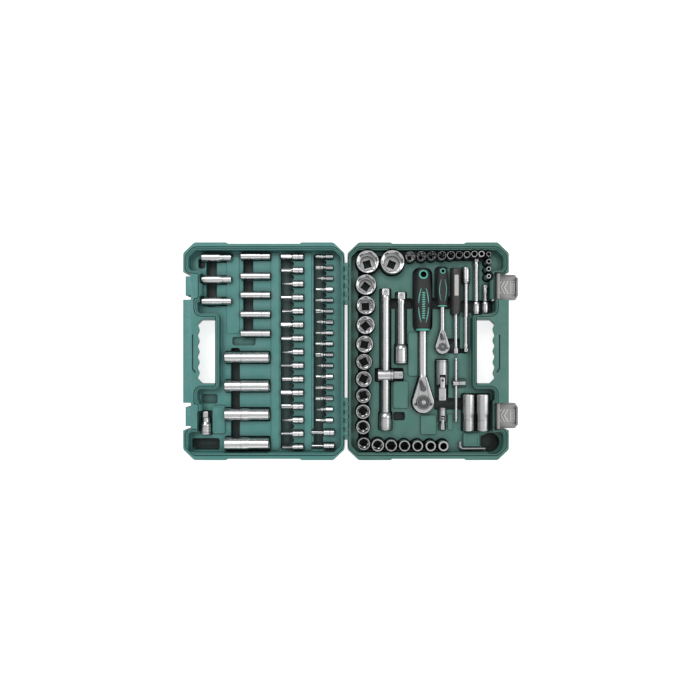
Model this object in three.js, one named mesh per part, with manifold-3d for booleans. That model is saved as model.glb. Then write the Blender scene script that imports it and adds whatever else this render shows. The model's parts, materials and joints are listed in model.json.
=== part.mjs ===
// A socket wrench set in a blow-moulded case that lies open flat, with its tools in their pockets.
// Millimetres, +Z up. X runs from the lid to the base, Y along the hinge.
// While modelling, x = 0 is the hinge line and z = 0 the surface the case lies on.

import * as THREE from "three";
import { mergeVertices } from "three/addons/utils/BufferGeometryUtils.js";
import Module from "manifold-3d";

const wasm = await Module();
wasm.setup();

// ---------------------------------------------------------------- driving dimensions

const caseLength = 382; // along the hinge
const halfWidth = 283; // hinge edge to front edge of each half
const halfDepth = 45; // each half, from its back to the parting plane
const wall = 2.2; // blown wall
const closeGap = 0.3; // between the two rims when the case is shut
const cornerAlong = 18.7; // corner chamfer along Y
const cornerAcross = 19.6; // corner chamfer along X
const endStep = 2.3; // how far the middle of each end is set back
const endStepRun = 76; // from a half's front or hinge edge to that step
const hingeRim = 6.4; // rim beside the hinge
const frontRim = 8.6; // rim beside the latches
const endRim = 13; // rim along both ends
const trayDepth = 19; // parting plane down to the tray's face

const gap = 0.3; // between pieces that touch
const nest = 0.6; // between a tool and the wall of its pocket
const lift = 0.3; // between a tool and the floor of its pocket
const headroom = 0.6; // between the tallest tools and the parting plane

const knuckleRadius = 2.4;
const hingePinRadius = 1.2;
const hingeEdge = 2.6; // hinge line to each half's edge
const knuckleCount = 10; // in each of the two hinge groups
const knucklePitch = 7.4;
const hingeOffset = 118; // centre of each hinge group from the middle

const latchOffset = 114.5; // centre of each latch from the middle
const latchWidth = 46;
const latchReach = 38; // pivot to the outside of the hook
const latchDrop = 16.5; // pivot to the back of the plate
const latchPlate = 2.5;
const latchHook = 7; // how far the hook stands up from the plate
const latchPinRadius = 1.5;
const latchPivotInset = 17.6; // front edge of the base to the pivot
const latchPivotDrop = 7; // parting plane down to the pivot
const latchSide = 1; // free space at each side of a latch

const gripInset = 26; // front edge to the handle opening
const gripOpening = 30; // handle opening across
const gripLength = 114.5; // handle opening along Y
const gripWaves = 5; // finger grips
const gripFlare = 12; // how much wider the opening is at the back of the case

const halfDrive = 12.7; // the larger square drive
const quarterDrive = 6.35; // the smaller square drive

const rimTop = halfDepth - closeGap / 2;
const trayFace = halfDepth - trayDepth;
const toolTop = halfDepth - headroom;
const above = 1; // how far a cutter runs past the face it opens
const barAxis = trayFace + 4; // height of the lying bars' axes
const latchPivotHeight = halfDepth - latchPivotDrop;

// ---------------------------------------------------------------- materials

function finish(color, roughness, metalness) {
  return new THREE.MeshStandardMaterial({ color, roughness, metalness });
}

const basePlastic = finish(0x4a7d72, 0.6, 0);
const lidPlastic = finish(0x4f8c84, 0.6, 0);
const chrome = finish(0xd4d6d8, 0.22, 1);
const satinSteel = finish(0xb4b7ba, 0.35, 1);
const darkSteel = finish(0x5c5f62, 0.4, 1);
const gripRubber = finish(0x1d1f20, 0.75, 0);
const smokedPlastic = finish(0x8f908e, 0.25, 0);

// ---------------------------------------------------------------- solids

function solidOf(geometry, matrix) {
  const bare = geometry.index ? geometry.toNonIndexed() : geometry.clone();
  if (matrix) bare.applyMatrix4(matrix);
  bare.deleteAttribute("normal");
  bare.deleteAttribute("uv");
  const welded = mergeVertices(bare, 1e-4);
  return new wasm.Manifold(
    new wasm.Mesh({
      numProp: 3,
      vertProperties: new Float32Array(welded.attributes.position.array),
      triVerts: new Uint32Array(welded.index.array),
    }),
  );
}

function geometryOf(solid) {
  const mesh = solid.getMesh();
  const geometry = new THREE.BufferGeometry();
  geometry.setAttribute("position", new THREE.BufferAttribute(mesh.vertProperties, 3));
  geometry.setIndex(new THREE.BufferAttribute(mesh.triVerts, 1));
  geometry.computeVertexNormals();
  return geometry;
}

function moved(x, y, z) {
  return new THREE.Matrix4().makeTranslation(x, y, z);
}

// An outline of [x, y] points, standing from z0 to z1.
function prism(points, z0, z1) {
  const shape = new THREE.Shape(points.map(([x, y]) => new THREE.Vector2(x, y)));
  const geometry = new THREE.ExtrudeGeometry(shape, { depth: z1 - z0, bevelEnabled: false });
  return solidOf(geometry, moved(0, 0, z0));
}

// A solid between two outlines with equally many points, the first at z0 and the second at z1.
function between(lower, upper, z0, z1) {
  const flat = (points) => points.map(([x, y]) => new THREE.Vector2(x, y));
  if (THREE.ShapeUtils.isClockWise(flat(lower))) return between([...lower].reverse(), [...upper].reverse(), z0, z1);
  const count = lower.length;
  const cap = THREE.ShapeUtils.triangulateShape(flat(lower), []);
  const faces = cap.flatMap(([a, b, c]) => [a, c, b, a + count, b + count, c + count]);
  for (let i = 0; i < count; i++) {
    const j = (i + 1) % count;
    faces.push(i, j, j + count, i, j + count, i + count);
  }
  const corners = [...lower.map(([x, y]) => [x, y, z0]), ...upper.map(([x, y]) => [x, y, z1])];
  const geometry = new THREE.BufferGeometry();
  geometry.setAttribute("position", new THREE.Float32BufferAttribute(corners.flat(), 3));
  geometry.setIndex(faces);
  return solidOf(geometry);
}

function box(x0, x1, y0, y1, z0, z1) {
  const geometry = new THREE.BoxGeometry(x1 - x0, y1 - y0, z1 - z0);
  return solidOf(geometry, moved((x0 + x1) / 2, (y0 + y1) / 2, (z0 + z1) / 2));
}

function ring(x, y, radius, sides, turn = 0) {
  return Array.from({ length: sides }, (_, i) => {
    const a = turn + (2 * Math.PI * i) / sides;
    return [x + radius * Math.cos(a), y + radius * Math.sin(a)];
  });
}

function disc(x, y, radius, z0, z1, sides = 12) {
  return prism(ring(x, y, radius, sides), z0, z1);
}

// A turned solid from [radius, height] points, with its foot at the origin.
function turned(profile, sides = 12) {
  const points = profile.map(([r, z]) => new THREE.Vector2(r, z));
  return new THREE.LatheGeometry(points, sides).rotateX(Math.PI / 2);
}

// A regular prism about +Z, such as a hexagon or a square, by its size across flats.
function flats(count, across, z0, z1) {
  const radius = across / 2 / Math.cos(Math.PI / count);
  return prism(ring(0, 0, radius, count, Math.PI / count), z0, z1);
}

const alongX = new THREE.Matrix4().makeRotationY(Math.PI / 2);
const alongY = new THREE.Matrix4().makeRotationX(-Math.PI / 2);

// Carries a solid built about +Z so that its axis lies along "direction" (+x, -x, +y, -y or +z) from a point.
function laid(solid, direction, x, y, z) {
  const turns = {
    "+z": new THREE.Matrix4(),
    "+x": alongX,
    "-x": new THREE.Matrix4().makeRotationY(-Math.PI / 2),
    "+y": alongY,
    "-y": new THREE.Matrix4().makeRotationX(Math.PI / 2),
  };
  const matrix = moved(x, y, z).multiply(turns[direction]);
  return solidOf(geometryOf(solid), matrix);
}

const model = new THREE.Group();

function add(name, solid, material) {
  const mesh = new THREE.Mesh(geometryOf(solid), material);
  mesh.name = name;
  model.add(mesh);
}

function union(solids) {
  return solids.reduce((all, one) => all.add(one));
}

// ---------------------------------------------------------------- pockets

// A pocket is what it cuts from a half and the same, grown by the wall, which is kept out of the cavity.
const pockets = { base: [], lid: [] };

function pocket(half, outlineOf, floor) {
  pockets[half].push({
    cut: prism(outlineOf(0), floor, rimTop + above),
    keep: prism(outlineOf(wall), Math.max(floor - wall, 0), rimTop + above),
  });
}

function boxPocket(half, x0, x1, y0, y1, floor) {
  const outline = (grow) => [
    [x0 - grow, y0 - grow],
    [x1 + grow, y0 - grow],
    [x1 + grow, y1 + grow],
    [x0 - grow, y1 + grow],
  ];
  pocket(half, outline, floor);
}

function discPocket(half, x, y, radius, floor, sides = 12) {
  pocket(half, (grow) => ring(x, y, radius + grow, sides), floor);
}

// A pocket for a tool that lies along Y, from y0 to y1.
function lyingPocket(half, x, y0, y1, radius, axis = barAxis) {
  boxPocket(half, x - radius - nest, x + radius + nest, y0 - nest, y1 + nest, axis - radius - lift);
}

// ---------------------------------------------------------------- the two halves of the case

const frontEdge = hingeEdge + halfWidth;
const sideEdge = caseLength / 2;

// The outline of a half, set in by "inset". side is 1 for the base and -1 for the lid.
function caseOutline(side, inset) {
  const x0 = hingeEdge + inset;
  const x1 = frontEdge - inset;
  const y = sideEdge - inset;
  const c = inset * (Math.SQRT2 - 1);
  const nearStep = hingeEdge + endStepRun;
  const farStep = frontEdge - endStepRun;
  const back = y - endStep;
  const quarter = [
    [x0, y - cornerAlong + c],
    [x0 + cornerAcross - c, y],
    [nearStep, y],
    [nearStep + endStep, back],
    [farStep - endStep, back],
    [farStep, y],
    [x1 - cornerAcross + c, y],
    [x1, y - cornerAlong + c],
  ];
  const mirrored = quarter.map(([px, py]) => [px, -py]).reverse();
  return [...quarter, ...mirrored].map(([px, py]) => [side * px, py]);
}

const gripZoneInset = frontEdge - gripInset - gripOpening - 6; // where the tray stops before the handle
const gripZone = 66;
const latchCutInset = latchPivotInset + 8; // front edge to the back of the latch's recess
const latchZoneInset = latchCutInset + 6;
const latchZone = latchWidth / 2 + latchSide + 3;

// The tray stops short of the handle and of the latches.
function trayOutline(side, grow) {
  const x0 = hingeEdge + hingeRim - grow;
  const x1 = frontEdge - frontRim + grow;
  const y = sideEdge - endRim + grow;
  const chamfer = 12;
  const handle = gripZoneInset + grow;
  const latch = frontEdge - latchZoneInset + grow;
  const between = frontEdge - gripInset + 2 + grow;
  const upper = [
    [x0, y - chamfer],
    [x0 + chamfer, y],
    [x1 - chamfer, y],
    [x1, y - chamfer],
    [x1, latchOffset + latchZone - grow],
    [latch, latchOffset + latchZone - grow],
    [latch, latchOffset - latchZone + grow],
    [between, latchOffset - latchZone + grow],
    [between, gripZone - grow],
    [handle, gripZone - grow],
  ];
  const lower = upper.map(([px, py]) => [px, -py]).reverse();
  return [...upper, ...lower].map(([px, py]) => [side * px, py]);
}

// The handle opening has finger grips on its outer side.
function gripOutline(side, grow, flare = 0) {
  const outer = frontEdge - gripInset + grow + flare;
  const inner = frontEdge - gripInset - gripOpening - grow;
  const y = gripLength / 2 + grow;
  const cut = 9;
  const depth = 1.6;
  const steps = gripWaves * 4;
  const waves = Array.from({ length: steps + 1 }, (_, i) => {
    const t = i / steps;
    return [outer + depth * (Math.cos(2 * Math.PI * gripWaves * t) - 1), (t * 2 - 1) * (y - cut)];
  });
  return [[inner, y], [inner, -y], [outer - cut, -y], ...waves, [outer - cut, y]].map(([px, py]) => [
    side * px,
    py,
  ]);
}

function throughCut(x0, x1, y0, y1, z0 = -above, z1 = rimTop + above) {
  return {
    cut: box(Math.min(x0, x1), Math.max(x0, x1), y0, y1, z0, z1),
    keep: box(
      Math.min(x0, x1) - wall,
      Math.max(x0, x1) + wall,
      y0 - wall,
      y1 + wall,
      z0 - wall,
      Math.min(z1 + wall, rimTop + above),
    ),
  };
}

function alongYCut(x, y0, y1, z, radius) {
  const length = y1 - y0;
  return {
    cut: laid(flats(8, 2 * radius, 0, length), "+y", x, y0, z),
    keep: laid(flats(8, 2 * (radius + wall), 0, length + 2 * wall), "+y", x, y0 - wall, z),
  };
}

const latchPivotX = frontEdge - latchPivotInset;
const tongueInset = 4.4; // the lid's latch tongue, behind the lid's front edge
const notchDepth = 13.6; // slots at both sides of the tongue
const tongueHalf = 16.8;
const notchHalf = latchWidth / 2 + latchSide;
const tongueFoot = 2 * halfDepth - (latchPivotHeight + latchReach - 3.5) + gap; // hook pocket's ceiling

// Alternate knuckles, each on a short web, for one half of the hinge.
function knuckles(side) {
  const pieces = [];
  for (const centre of [-hingeOffset, hingeOffset]) {
    for (let i = 0; i < knuckleCount; i++) {
      if ((i % 2 === 0) !== side > 0) continue;
      const y0 = centre + (i - knuckleCount / 2) * knucklePitch + gap / 2;
      const y1 = y0 + knucklePitch - gap;
      const x1 = side * (hingeEdge + wall / 2);
      const web = box(Math.min(0, x1), Math.max(0, x1), y0, y1, halfDepth - knuckleRadius, rimTop);
      const barrel = laid(flats(8, 2 * knuckleRadius, 0, y1 - y0), "+y", 0, y0, halfDepth);
      pieces.push(web.add(barrel));
    }
  }
  return union(pieces);
}

function pinBores(side) {
  return union(
    [-hingeOffset, hingeOffset].map((centre) => {
      const half = (knuckleCount / 2) * knucklePitch + above;
      const radius = hingePinRadius + gap;
      return laid(flats(8, 2 * radius, 0, 2 * half), "+y", 0, centre - half, halfDepth);
    }),
  );
}

function caseHalf(side) {
  const half = side > 0 ? "base" : "lid";
  const cuts = [
    ...pockets[half],
    {
      cut: prism(trayOutline(side, 0), trayFace, rimTop + above),
      keep: prism(trayOutline(side, wall), trayFace - wall, rimTop + above),
    },
    {
      cut: between(gripOutline(side, 0, gripFlare), gripOutline(side, 0), -above, rimTop + above),
      keep: between(gripOutline(side, wall, gripFlare), gripOutline(side, wall), -above, rimTop + above),
    },
  ];
  for (const y of [-latchOffset, latchOffset]) {
    if (side > 0) {
      const back = frontEdge - latchCutInset;
      cuts.push(throughCut(back, frontEdge + above, y - notchHalf, y + notchHalf));
      const reach = notchHalf + 3;
      cuts.push(alongYCut(latchPivotX, y - reach, y + reach, latchPivotHeight, latchPinRadius + gap));
    } else {
      const front = -frontEdge - above;
      const notch = -frontEdge + notchDepth;
      cuts.push(throughCut(front, notch, y + tongueHalf, y + notchHalf));
      cuts.push(throughCut(front, notch, y - notchHalf, y - tongueHalf));
      cuts.push(throughCut(front, -frontEdge + tongueInset, y - tongueHalf - 1, y + tongueHalf + 1));
      cuts.push(throughCut(front, notch, y - tongueHalf - 1, y + tongueHalf + 1, -above, tongueFoot));
    }
  }
  const panel = [side * 62, side * 205].sort((a, b) => a - b);
  cuts.push({
    cut: box(panel[0], panel[1], -150, 150, -above, 1.2),
    keep: box(panel[0] - wall, panel[1] + wall, -150 - wall, 150 + wall, -above, 1.2 + wall),
  });
  const outer = prism(caseOutline(side, 0), 0, rimTop);
  const inner = prism(caseOutline(side, wall), wall, rimTop - wall);
  const cavity = inner.subtract(union(cuts.map((c) => c.keep)));
  const blowHole = laid(disc(0, 0, 3, 0, 8), side > 0 ? "+x" : "-x", side * (hingeEdge - 1), 0, 12);
  return outer
    .subtract(union(cuts.map((c) => c.cut)))
    .subtract(cavity)
    .subtract(blowHole)
    .add(knuckles(side))
    .subtract(pinBores(side));
}

// ---------------------------------------------------------------- latches

// The latch's side view, with x out of the case and y up, about its pivot.
function latchSolid() {
  const eye = latchPinRadius + 2.2;
  const floor = -latchDrop;
  const face = floor + latchPlate;
  const points = [
    [-eye, 0],
    [-eye, floor],
    [latchReach, floor],
    [latchReach, face + latchHook],
    [latchReach - 3, face + latchHook],
    [latchReach - 3, face],
    [-eye + 2.5, face],
    [-eye + 2.5, -eye],
    [0, -eye],
    [eye * 0.71, -eye * 0.71],
    [eye, 0],
    [eye * 0.71, eye * 0.71],
    [0, eye],
    [-eye * 0.71, eye * 0.71],
  ];
  const body = prism(points, 0, latchWidth);
  const bore = disc(0, 0, latchPinRadius + gap, -above, latchWidth + above, 8);
  const upright = new THREE.Matrix4().makeRotationX(Math.PI / 2);
  return solidOf(geometryOf(body.subtract(bore)), upright);
}

for (const [name, y] of [
  ["upper", latchOffset],
  ["lower", -latchOffset],
]) {
  const place = moved(latchPivotX, y + latchWidth / 2, latchPivotHeight);
  add(`latch_${name}`, solidOf(geometryOf(latchSolid()), place), smokedPlastic);
  const pinHalf = notchHalf + 3 - gap;
  const pin = laid(flats(8, 2 * latchPinRadius, 0, 2 * pinHalf), "+y", latchPivotX, y - pinHalf, latchPivotHeight);
  add(`latch_pin_${name}`, pin, satinSteel);
}

// ---------------------------------------------------------------- standing sockets

// [size across flats, x, y, outer radius, height]
const standingSockets = [
  [30, 37.8, 157.2, 20, 41.5],
  [32, 81.6, 156.8, 21, 41.5],
  [27, 35, 117, 18, 41.5],
  [24, 34.8, 80.8, 16.2, 38],
  [23, 34.5, 46, 16, 38],
  [22, 32.8, 12.5, 15, 38],
  [21, 31.8, -18.6, 14, 38],
  [20, 31.3, -48.8, 14, 38],
  [19, 30.5, -78, 13, 38],
  [18, 29.9, -106, 12.8, 38],
  [17, 29.9, -133.3, 12.3, 38],
  [16, 31.3, -162.4, 11.2, 38],
];

// The row after them along the end of the base: [size across flats, space before it, y, outer radius, height]
const endRow = [
  [15, 2.1, -165, 11.2, 38],
  [14, 1.8, -165.5, 10.5, 38],
  [13, 2.9, -166, 10, 38],
  [12, 3.194, -166.2, 9.7, 38],
  [11, 2.988, -166.4, 9.3, 38],
  [10, 2.588, -166.4, 9.1, 38],
];

// A small socket's drive end is the wider one, because the square needs material round it.
function driveEndRadius(radius, drive) {
  return Math.max(radius * 0.9, drive * 0.78);
}

for (const [across, space, y, radius, height] of endRow) {
  const [, beforeX, , beforeRadius] = standingSockets.at(-1);
  const widest = (r) => Math.max(r, driveEndRadius(r, halfDrive));
  standingSockets.push([across, beforeX + widest(beforeRadius) + space + widest(radius), y, radius, height]);
}

// A socket about +Z, with its drive end at z = 0 and its hexagon at the top.
function socketSolid(across, radius, height, drive, sides = 12) {
  const mouth = Math.min(height * 0.45, across);
  const driveRadius = driveEndRadius(radius, drive);
  const body = solidOf(
    turned(
      [
        [0, 0],
        [driveRadius, 0],
        [driveRadius, height * 0.4],
        [radius, height * 0.5],
        [radius, height],
        [0, height],
      ],
      sides,
    ),
  );
  const hexagon = flats(6, across + 0.2, height - mouth, height + above);
  const relief = disc(0, 0, across * 0.46, height * 0.35, height - mouth + above, 8);
  const square = flats(4, drive + 0.2, -above, height * 0.35 + above);
  return body.subtract(hexagon).subtract(relief).subtract(square);
}

for (const [across, x, y, radius, height] of standingSockets) {
  const foot = toolTop - height;
  discPocket("base", x, y, Math.max(radius, driveEndRadius(radius, halfDrive)) + nest, foot - lift);
  add(`socket_half_${across}`, laid(socketSolid(across, radius, height, halfDrive), "+z", x, y, foot), chrome);
}

const socketFloor = toolTop - 38 - lift;
boxPocket("base", 22, 40, -172, 172, socketFloor + 0.4);
boxPocket("base", 26, 176, -175, -160, socketFloor + 0.6);
boxPocket("base", 40, 96, 150, 170, socketFloor + 0.8);

// ---------------------------------------------------------------- lying bars and sockets

// A bar about +Z: a female end with a square hole at z = 0 and a male square at the top.
function barSolid(length, shaft, end, endLength, drive) {
  const neck = length - drive * 0.95;
  const body = solidOf(
    turned([
      [0, 0],
      [end, 0],
      [end, endLength],
      [shaft, endLength + end * 0.6],
      [shaft, neck],
      [0, neck],
    ]),
  );
  const square = flats(4, drive - 0.2, neck - above, length);
  const hole = flats(4, drive + 0.2, -above, drive * 1.2);
  return body.add(square).subtract(hole);
}

// [name, x, y of the female end, direction of the male end, length, shaft radius, end radius, end length, drive]
const bars = [
  ["bar_half_250", 70, -139, "+y", 250, 7.25, 11, 25, halfDrive],
  ["bar_half_125", 98, -21.3, "+y", 126, 6.4, 10.6, 28, halfDrive],
  ["bar_quarter_150", 213, 148.7, "-y", 149.4, 3.6, 6.25, 25, quarterDrive],
  ["bar_quarter_100", 231.5, 65.6, "+y", 99.4, 3.4, 5.75, 20, quarterDrive],
  ["bar_quarter_50", 247.5, 68.1, "+y", 50.1, 3.4, 5.9, 18, quarterDrive],
];

for (const [name, x, y, direction, length, shaft, end, endLength, drive] of bars) {
  add(name, laid(barSolid(length, shaft, end, endLength, drive), direction, x, y, barAxis), chrome);
  const sign = direction === "+y" ? 1 : -1;
  const span = (a, b) => [y + sign * a, y + sign * b].sort((p, q) => p - q);
  const wide = span(0, endLength + end * 0.6);
  const narrow = span(0, length);
  lyingPocket("base", x, wide[0], wide[1], end);
  lyingPocket("base", x, narrow[0], narrow[1], Math.max(shaft, drive * 0.72));
}

// Spark-plug sockets: [size, x, outer radius]
const plugSockets = [
  [16, 217.6, 11],
  [21, 243, 12.6],
];
const plugLength = 64.7;
const plugFoot = -141;
for (const [across, x, radius] of plugSockets) {
  const solid = socketSolid(across, radius, plugLength, halfDrive);
  add(`plug_socket_${across}`, laid(solid, "+y", x, plugFoot, barAxis), chrome);
  lyingPocket("base", x, plugFoot, plugFoot + plugLength, Math.max(radius, driveEndRadius(radius, halfDrive)));
}

// Deep sockets in the lid: [size, y, outer radius]
const deepSockets = [
  [14, -10.6, 10],
  [15, -61.4, 10.2],
  [17, -112, 11],
  [19, -164.4, 12],
];
const deepLength = 78;
const deepMouth = -214.8;
for (const [across, y, radius] of deepSockets) {
  const solid = socketSolid(across, radius, deepLength, halfDrive);
  const side = Math.max(radius, driveEndRadius(radius, halfDrive));
  add(`deep_socket_half_${across}`, laid(solid, "-x", deepMouth + deepLength, y, barAxis), chrome);
  boxPocket(
    "lid",
    deepMouth - nest,
    deepMouth + deepLength + nest,
    y - side - nest,
    y + side + nest,
    barAxis - side - lift,
  );
}

// The drive adapter lies along Y in the lid.
const adapterX = -249;
const adapterFoot = -147;
const adapterBody = solidOf(
  turned([
    [0, 0],
    [9.5, 0],
    [9.5, 18],
    [7, 22],
    [7, 30],
    [0, 30],
  ]),
);
const adapterSolid = adapterBody
  .add(flats(4, 9.5, 29, 40))
  .subtract(flats(4, halfDrive + 0.2, -above, 15));
add("drive_adapter", laid(adapterSolid, "+y", adapterX, adapterFoot, barAxis), chrome);
boxPocket("lid", adapterX - 9.5 - nest, adapterX + 9.5 + nest, adapterFoot - nest, -107 + nest, barAxis - 9.8);

// ---------------------------------------------------------------- sliding T-handles

const headY = -42;
const headHalf = 13.7;
const headRadius = 11;
const headShape = laid(disc(0, 0, headRadius, 0, 2 * headHalf), "+x", 70 - headHalf, headY, barAxis);
const headSquare = box(
  70 + headHalf - 1,
  101,
  headY - halfDrive / 2 + 0.1,
  headY + halfDrive / 2 - 0.1,
  barAxis - halfDrive / 2 + 0.1,
  barAxis + halfDrive / 2 - 0.1,
);
const headBore = laid(disc(0, 0, 7.25 + gap, 0, 30), "+y", 70, headY - 15, barAxis);
add("tee_head_half", headShape.add(headSquare).subtract(headBore), satinSteel);
const headSweep = Math.hypot(headHalf, headRadius) + nest;
boxPocket("base", 70 - headSweep, 101 + nest, headY - headRadius - nest, headY + headRadius + nest, barAxis - headSweep);

const rodX = 195.4;
const rodRadius = 2.6;
const rod = [-125.2, -11.5];
const sliderY = -56.4;
const sliderRadius = 5;
const sliderPlay = 3;
add(
  "tee_rod_quarter",
  laid(disc(0, 0, rodRadius, 0, rod[1] - rod[0]), "+y", rodX, rod[0], barAxis),
  chrome,
);
const sliderBody = laid(disc(0, 0, sliderRadius, 0, 13.5), "+x", rodX - 5.5, sliderY, barAxis);
const sliderSquare = box(rodX + 7, rodX + 17, sliderY - 3.1, sliderY + 3.1, barAxis - 3.1, barAxis + 3.1);
const sliderBore = laid(disc(0, 0, rodRadius + gap, 0, 14), "+y", rodX, sliderY - 7, barAxis);
add("tee_slider_quarter", sliderBody.add(sliderSquare).subtract(sliderBore), satinSteel);
lyingPocket("base", rodX, rod[0], rod[1], rodRadius);
boxPocket(
  "base",
  rodX - 5.5 - nest,
  rodX + 17 + nest,
  sliderY - sliderRadius - sliderPlay - nest,
  sliderY + sliderRadius + sliderPlay + nest,
  barAxis - sliderRadius - lift,
);

// ---------------------------------------------------------------- universal joints

const universalSwing = 8; // degrees to each side that the pockets leave

// The female yoke points up the case, its ears hold a pin along X, and the male yoke swings on the cross.
function universalJoint(label, x, top, bottom, radius, drive, material) {
  const length = top - bottom;
  const pivot = top - length * 0.5;
  const earGap = radius * 0.52;
  const reach = radius * 0.95;
  const pin = radius * 0.22;
  const femaleEnd = pivot + reach;
  const earBox = (inner) => box(x - inner, x + inner, pivot - reach, femaleEnd, 0, halfDepth);
  const earEnd = laid(disc(0, 0, reach, 0, 2 * radius + 2), "+x", x - radius - 1, pivot, barAxis);
  const barrel = laid(disc(0, 0, radius, 0, top - pivot), "+y", x, pivot, barAxis);
  const ears = laid(disc(0, 0, radius, 0, reach + 2), "+y", x, pivot - reach, barAxis).intersect(earEnd);
  const female = barrel
    .add(ears)
    .subtract(earBox(earGap))
    .subtract(laid(flats(4, drive + 0.2, 0, drive * 1.1), "+y", x, top - drive * 1.1 + above, barAxis))
    .subtract(laid(disc(0, 0, pin + gap, 0, 2 * radius + 4, 8), "+x", x - radius - 2, pivot, barAxis));
  add(`universal_${label}_socket`, female, material);

  const block = earGap - gap;
  const cross = box(x - block, x + block, pivot - block, pivot + block, barAxis - block, barAxis + block)
    .add(laid(disc(0, 0, pin, 0, 2 * radius - 1, 8), "+x", x - radius + 0.5, pivot, barAxis))
    .add(disc(x, pivot, pin, barAxis - radius + 0.5, barAxis + radius - 0.5, 8));
  add(`universal_${label}_cross`, cross, darkSteel);

  const turn = Math.sin((universalSwing * Math.PI) / 180);
  const neck = pivot - reach - 1.5 - radius * turn;
  const tongue = laid(disc(0, 0, radius * 0.9, 0, pivot + reach - neck), "+y", x, neck, barAxis);
  const slimHalf = earGap - gap - reach * turn;
  const slim = box(x - slimHalf, x + slimHalf, neck, pivot + reach, 0, halfDepth);
  const behind = box(x - earGap, x + earGap, neck, pivot, 0, halfDepth);
  const cap = laid(disc(0, 0, reach - gap, 0, 2 * radius), "+x", x - radius, pivot, barAxis).add(behind);
  const slot = box(x - radius, x + radius, pivot - reach, pivot + reach, barAxis - earGap, barAxis + earGap);
  const male = tongue
    .intersect(slim)
    .intersect(cap)
    .subtract(slot)
    .subtract(disc(x, pivot, pin + gap, 0, halfDepth, 8))
    .add(laid(disc(0, 0, radius * 0.62, 0, 4), "+y", x, neck - 3, barAxis))
    .add(
      box(
        x - drive / 2 + 0.1,
        x + drive / 2 - 0.1,
        bottom,
        neck - 2,
        barAxis - drive / 2 + 0.1,
        barAxis + drive / 2 - 0.1,
      ),
    );
  add(`universal_${label}_drive`, male, material);
  const side = radius + nest;
  const swing = (pivot - bottom) * turn + drive / 2;
  boxPocket("base", x - side, x + side, neck, top + nest, barAxis - radius - lift);
  boxPocket(
    "base",
    x - Math.max(side, swing + nest),
    x + Math.max(side, swing + nest),
    bottom - nest,
    neck + 4,
    barAxis - radius - lift,
  );
}

universalJoint("half", 170.4, -15, -87.5, 10.4, halfDrive, satinSteel);
universalJoint("quarter", 171.3, -99.8, -139.4, 6.2, quarterDrive, satinSteel);

// ---------------------------------------------------------------- ratchets

// A ratchet head seen from above: a round head that narrows to its shank.
function headOutline(x, headY, radius, shankEdge, slope) {
  const past = Math.PI / 7; // the round part runs this far past each side
  const steps = 18;
  const round = Array.from({ length: steps + 1 }, (_, i) => {
    const a = Math.PI - past + (i / steps) * (Math.PI + 2 * past);
    return [x + radius * Math.cos(a), headY + radius * Math.sin(a)];
  });
  return [...round, [x + shankEdge, slope], [x - shankEdge, slope]];
}

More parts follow.
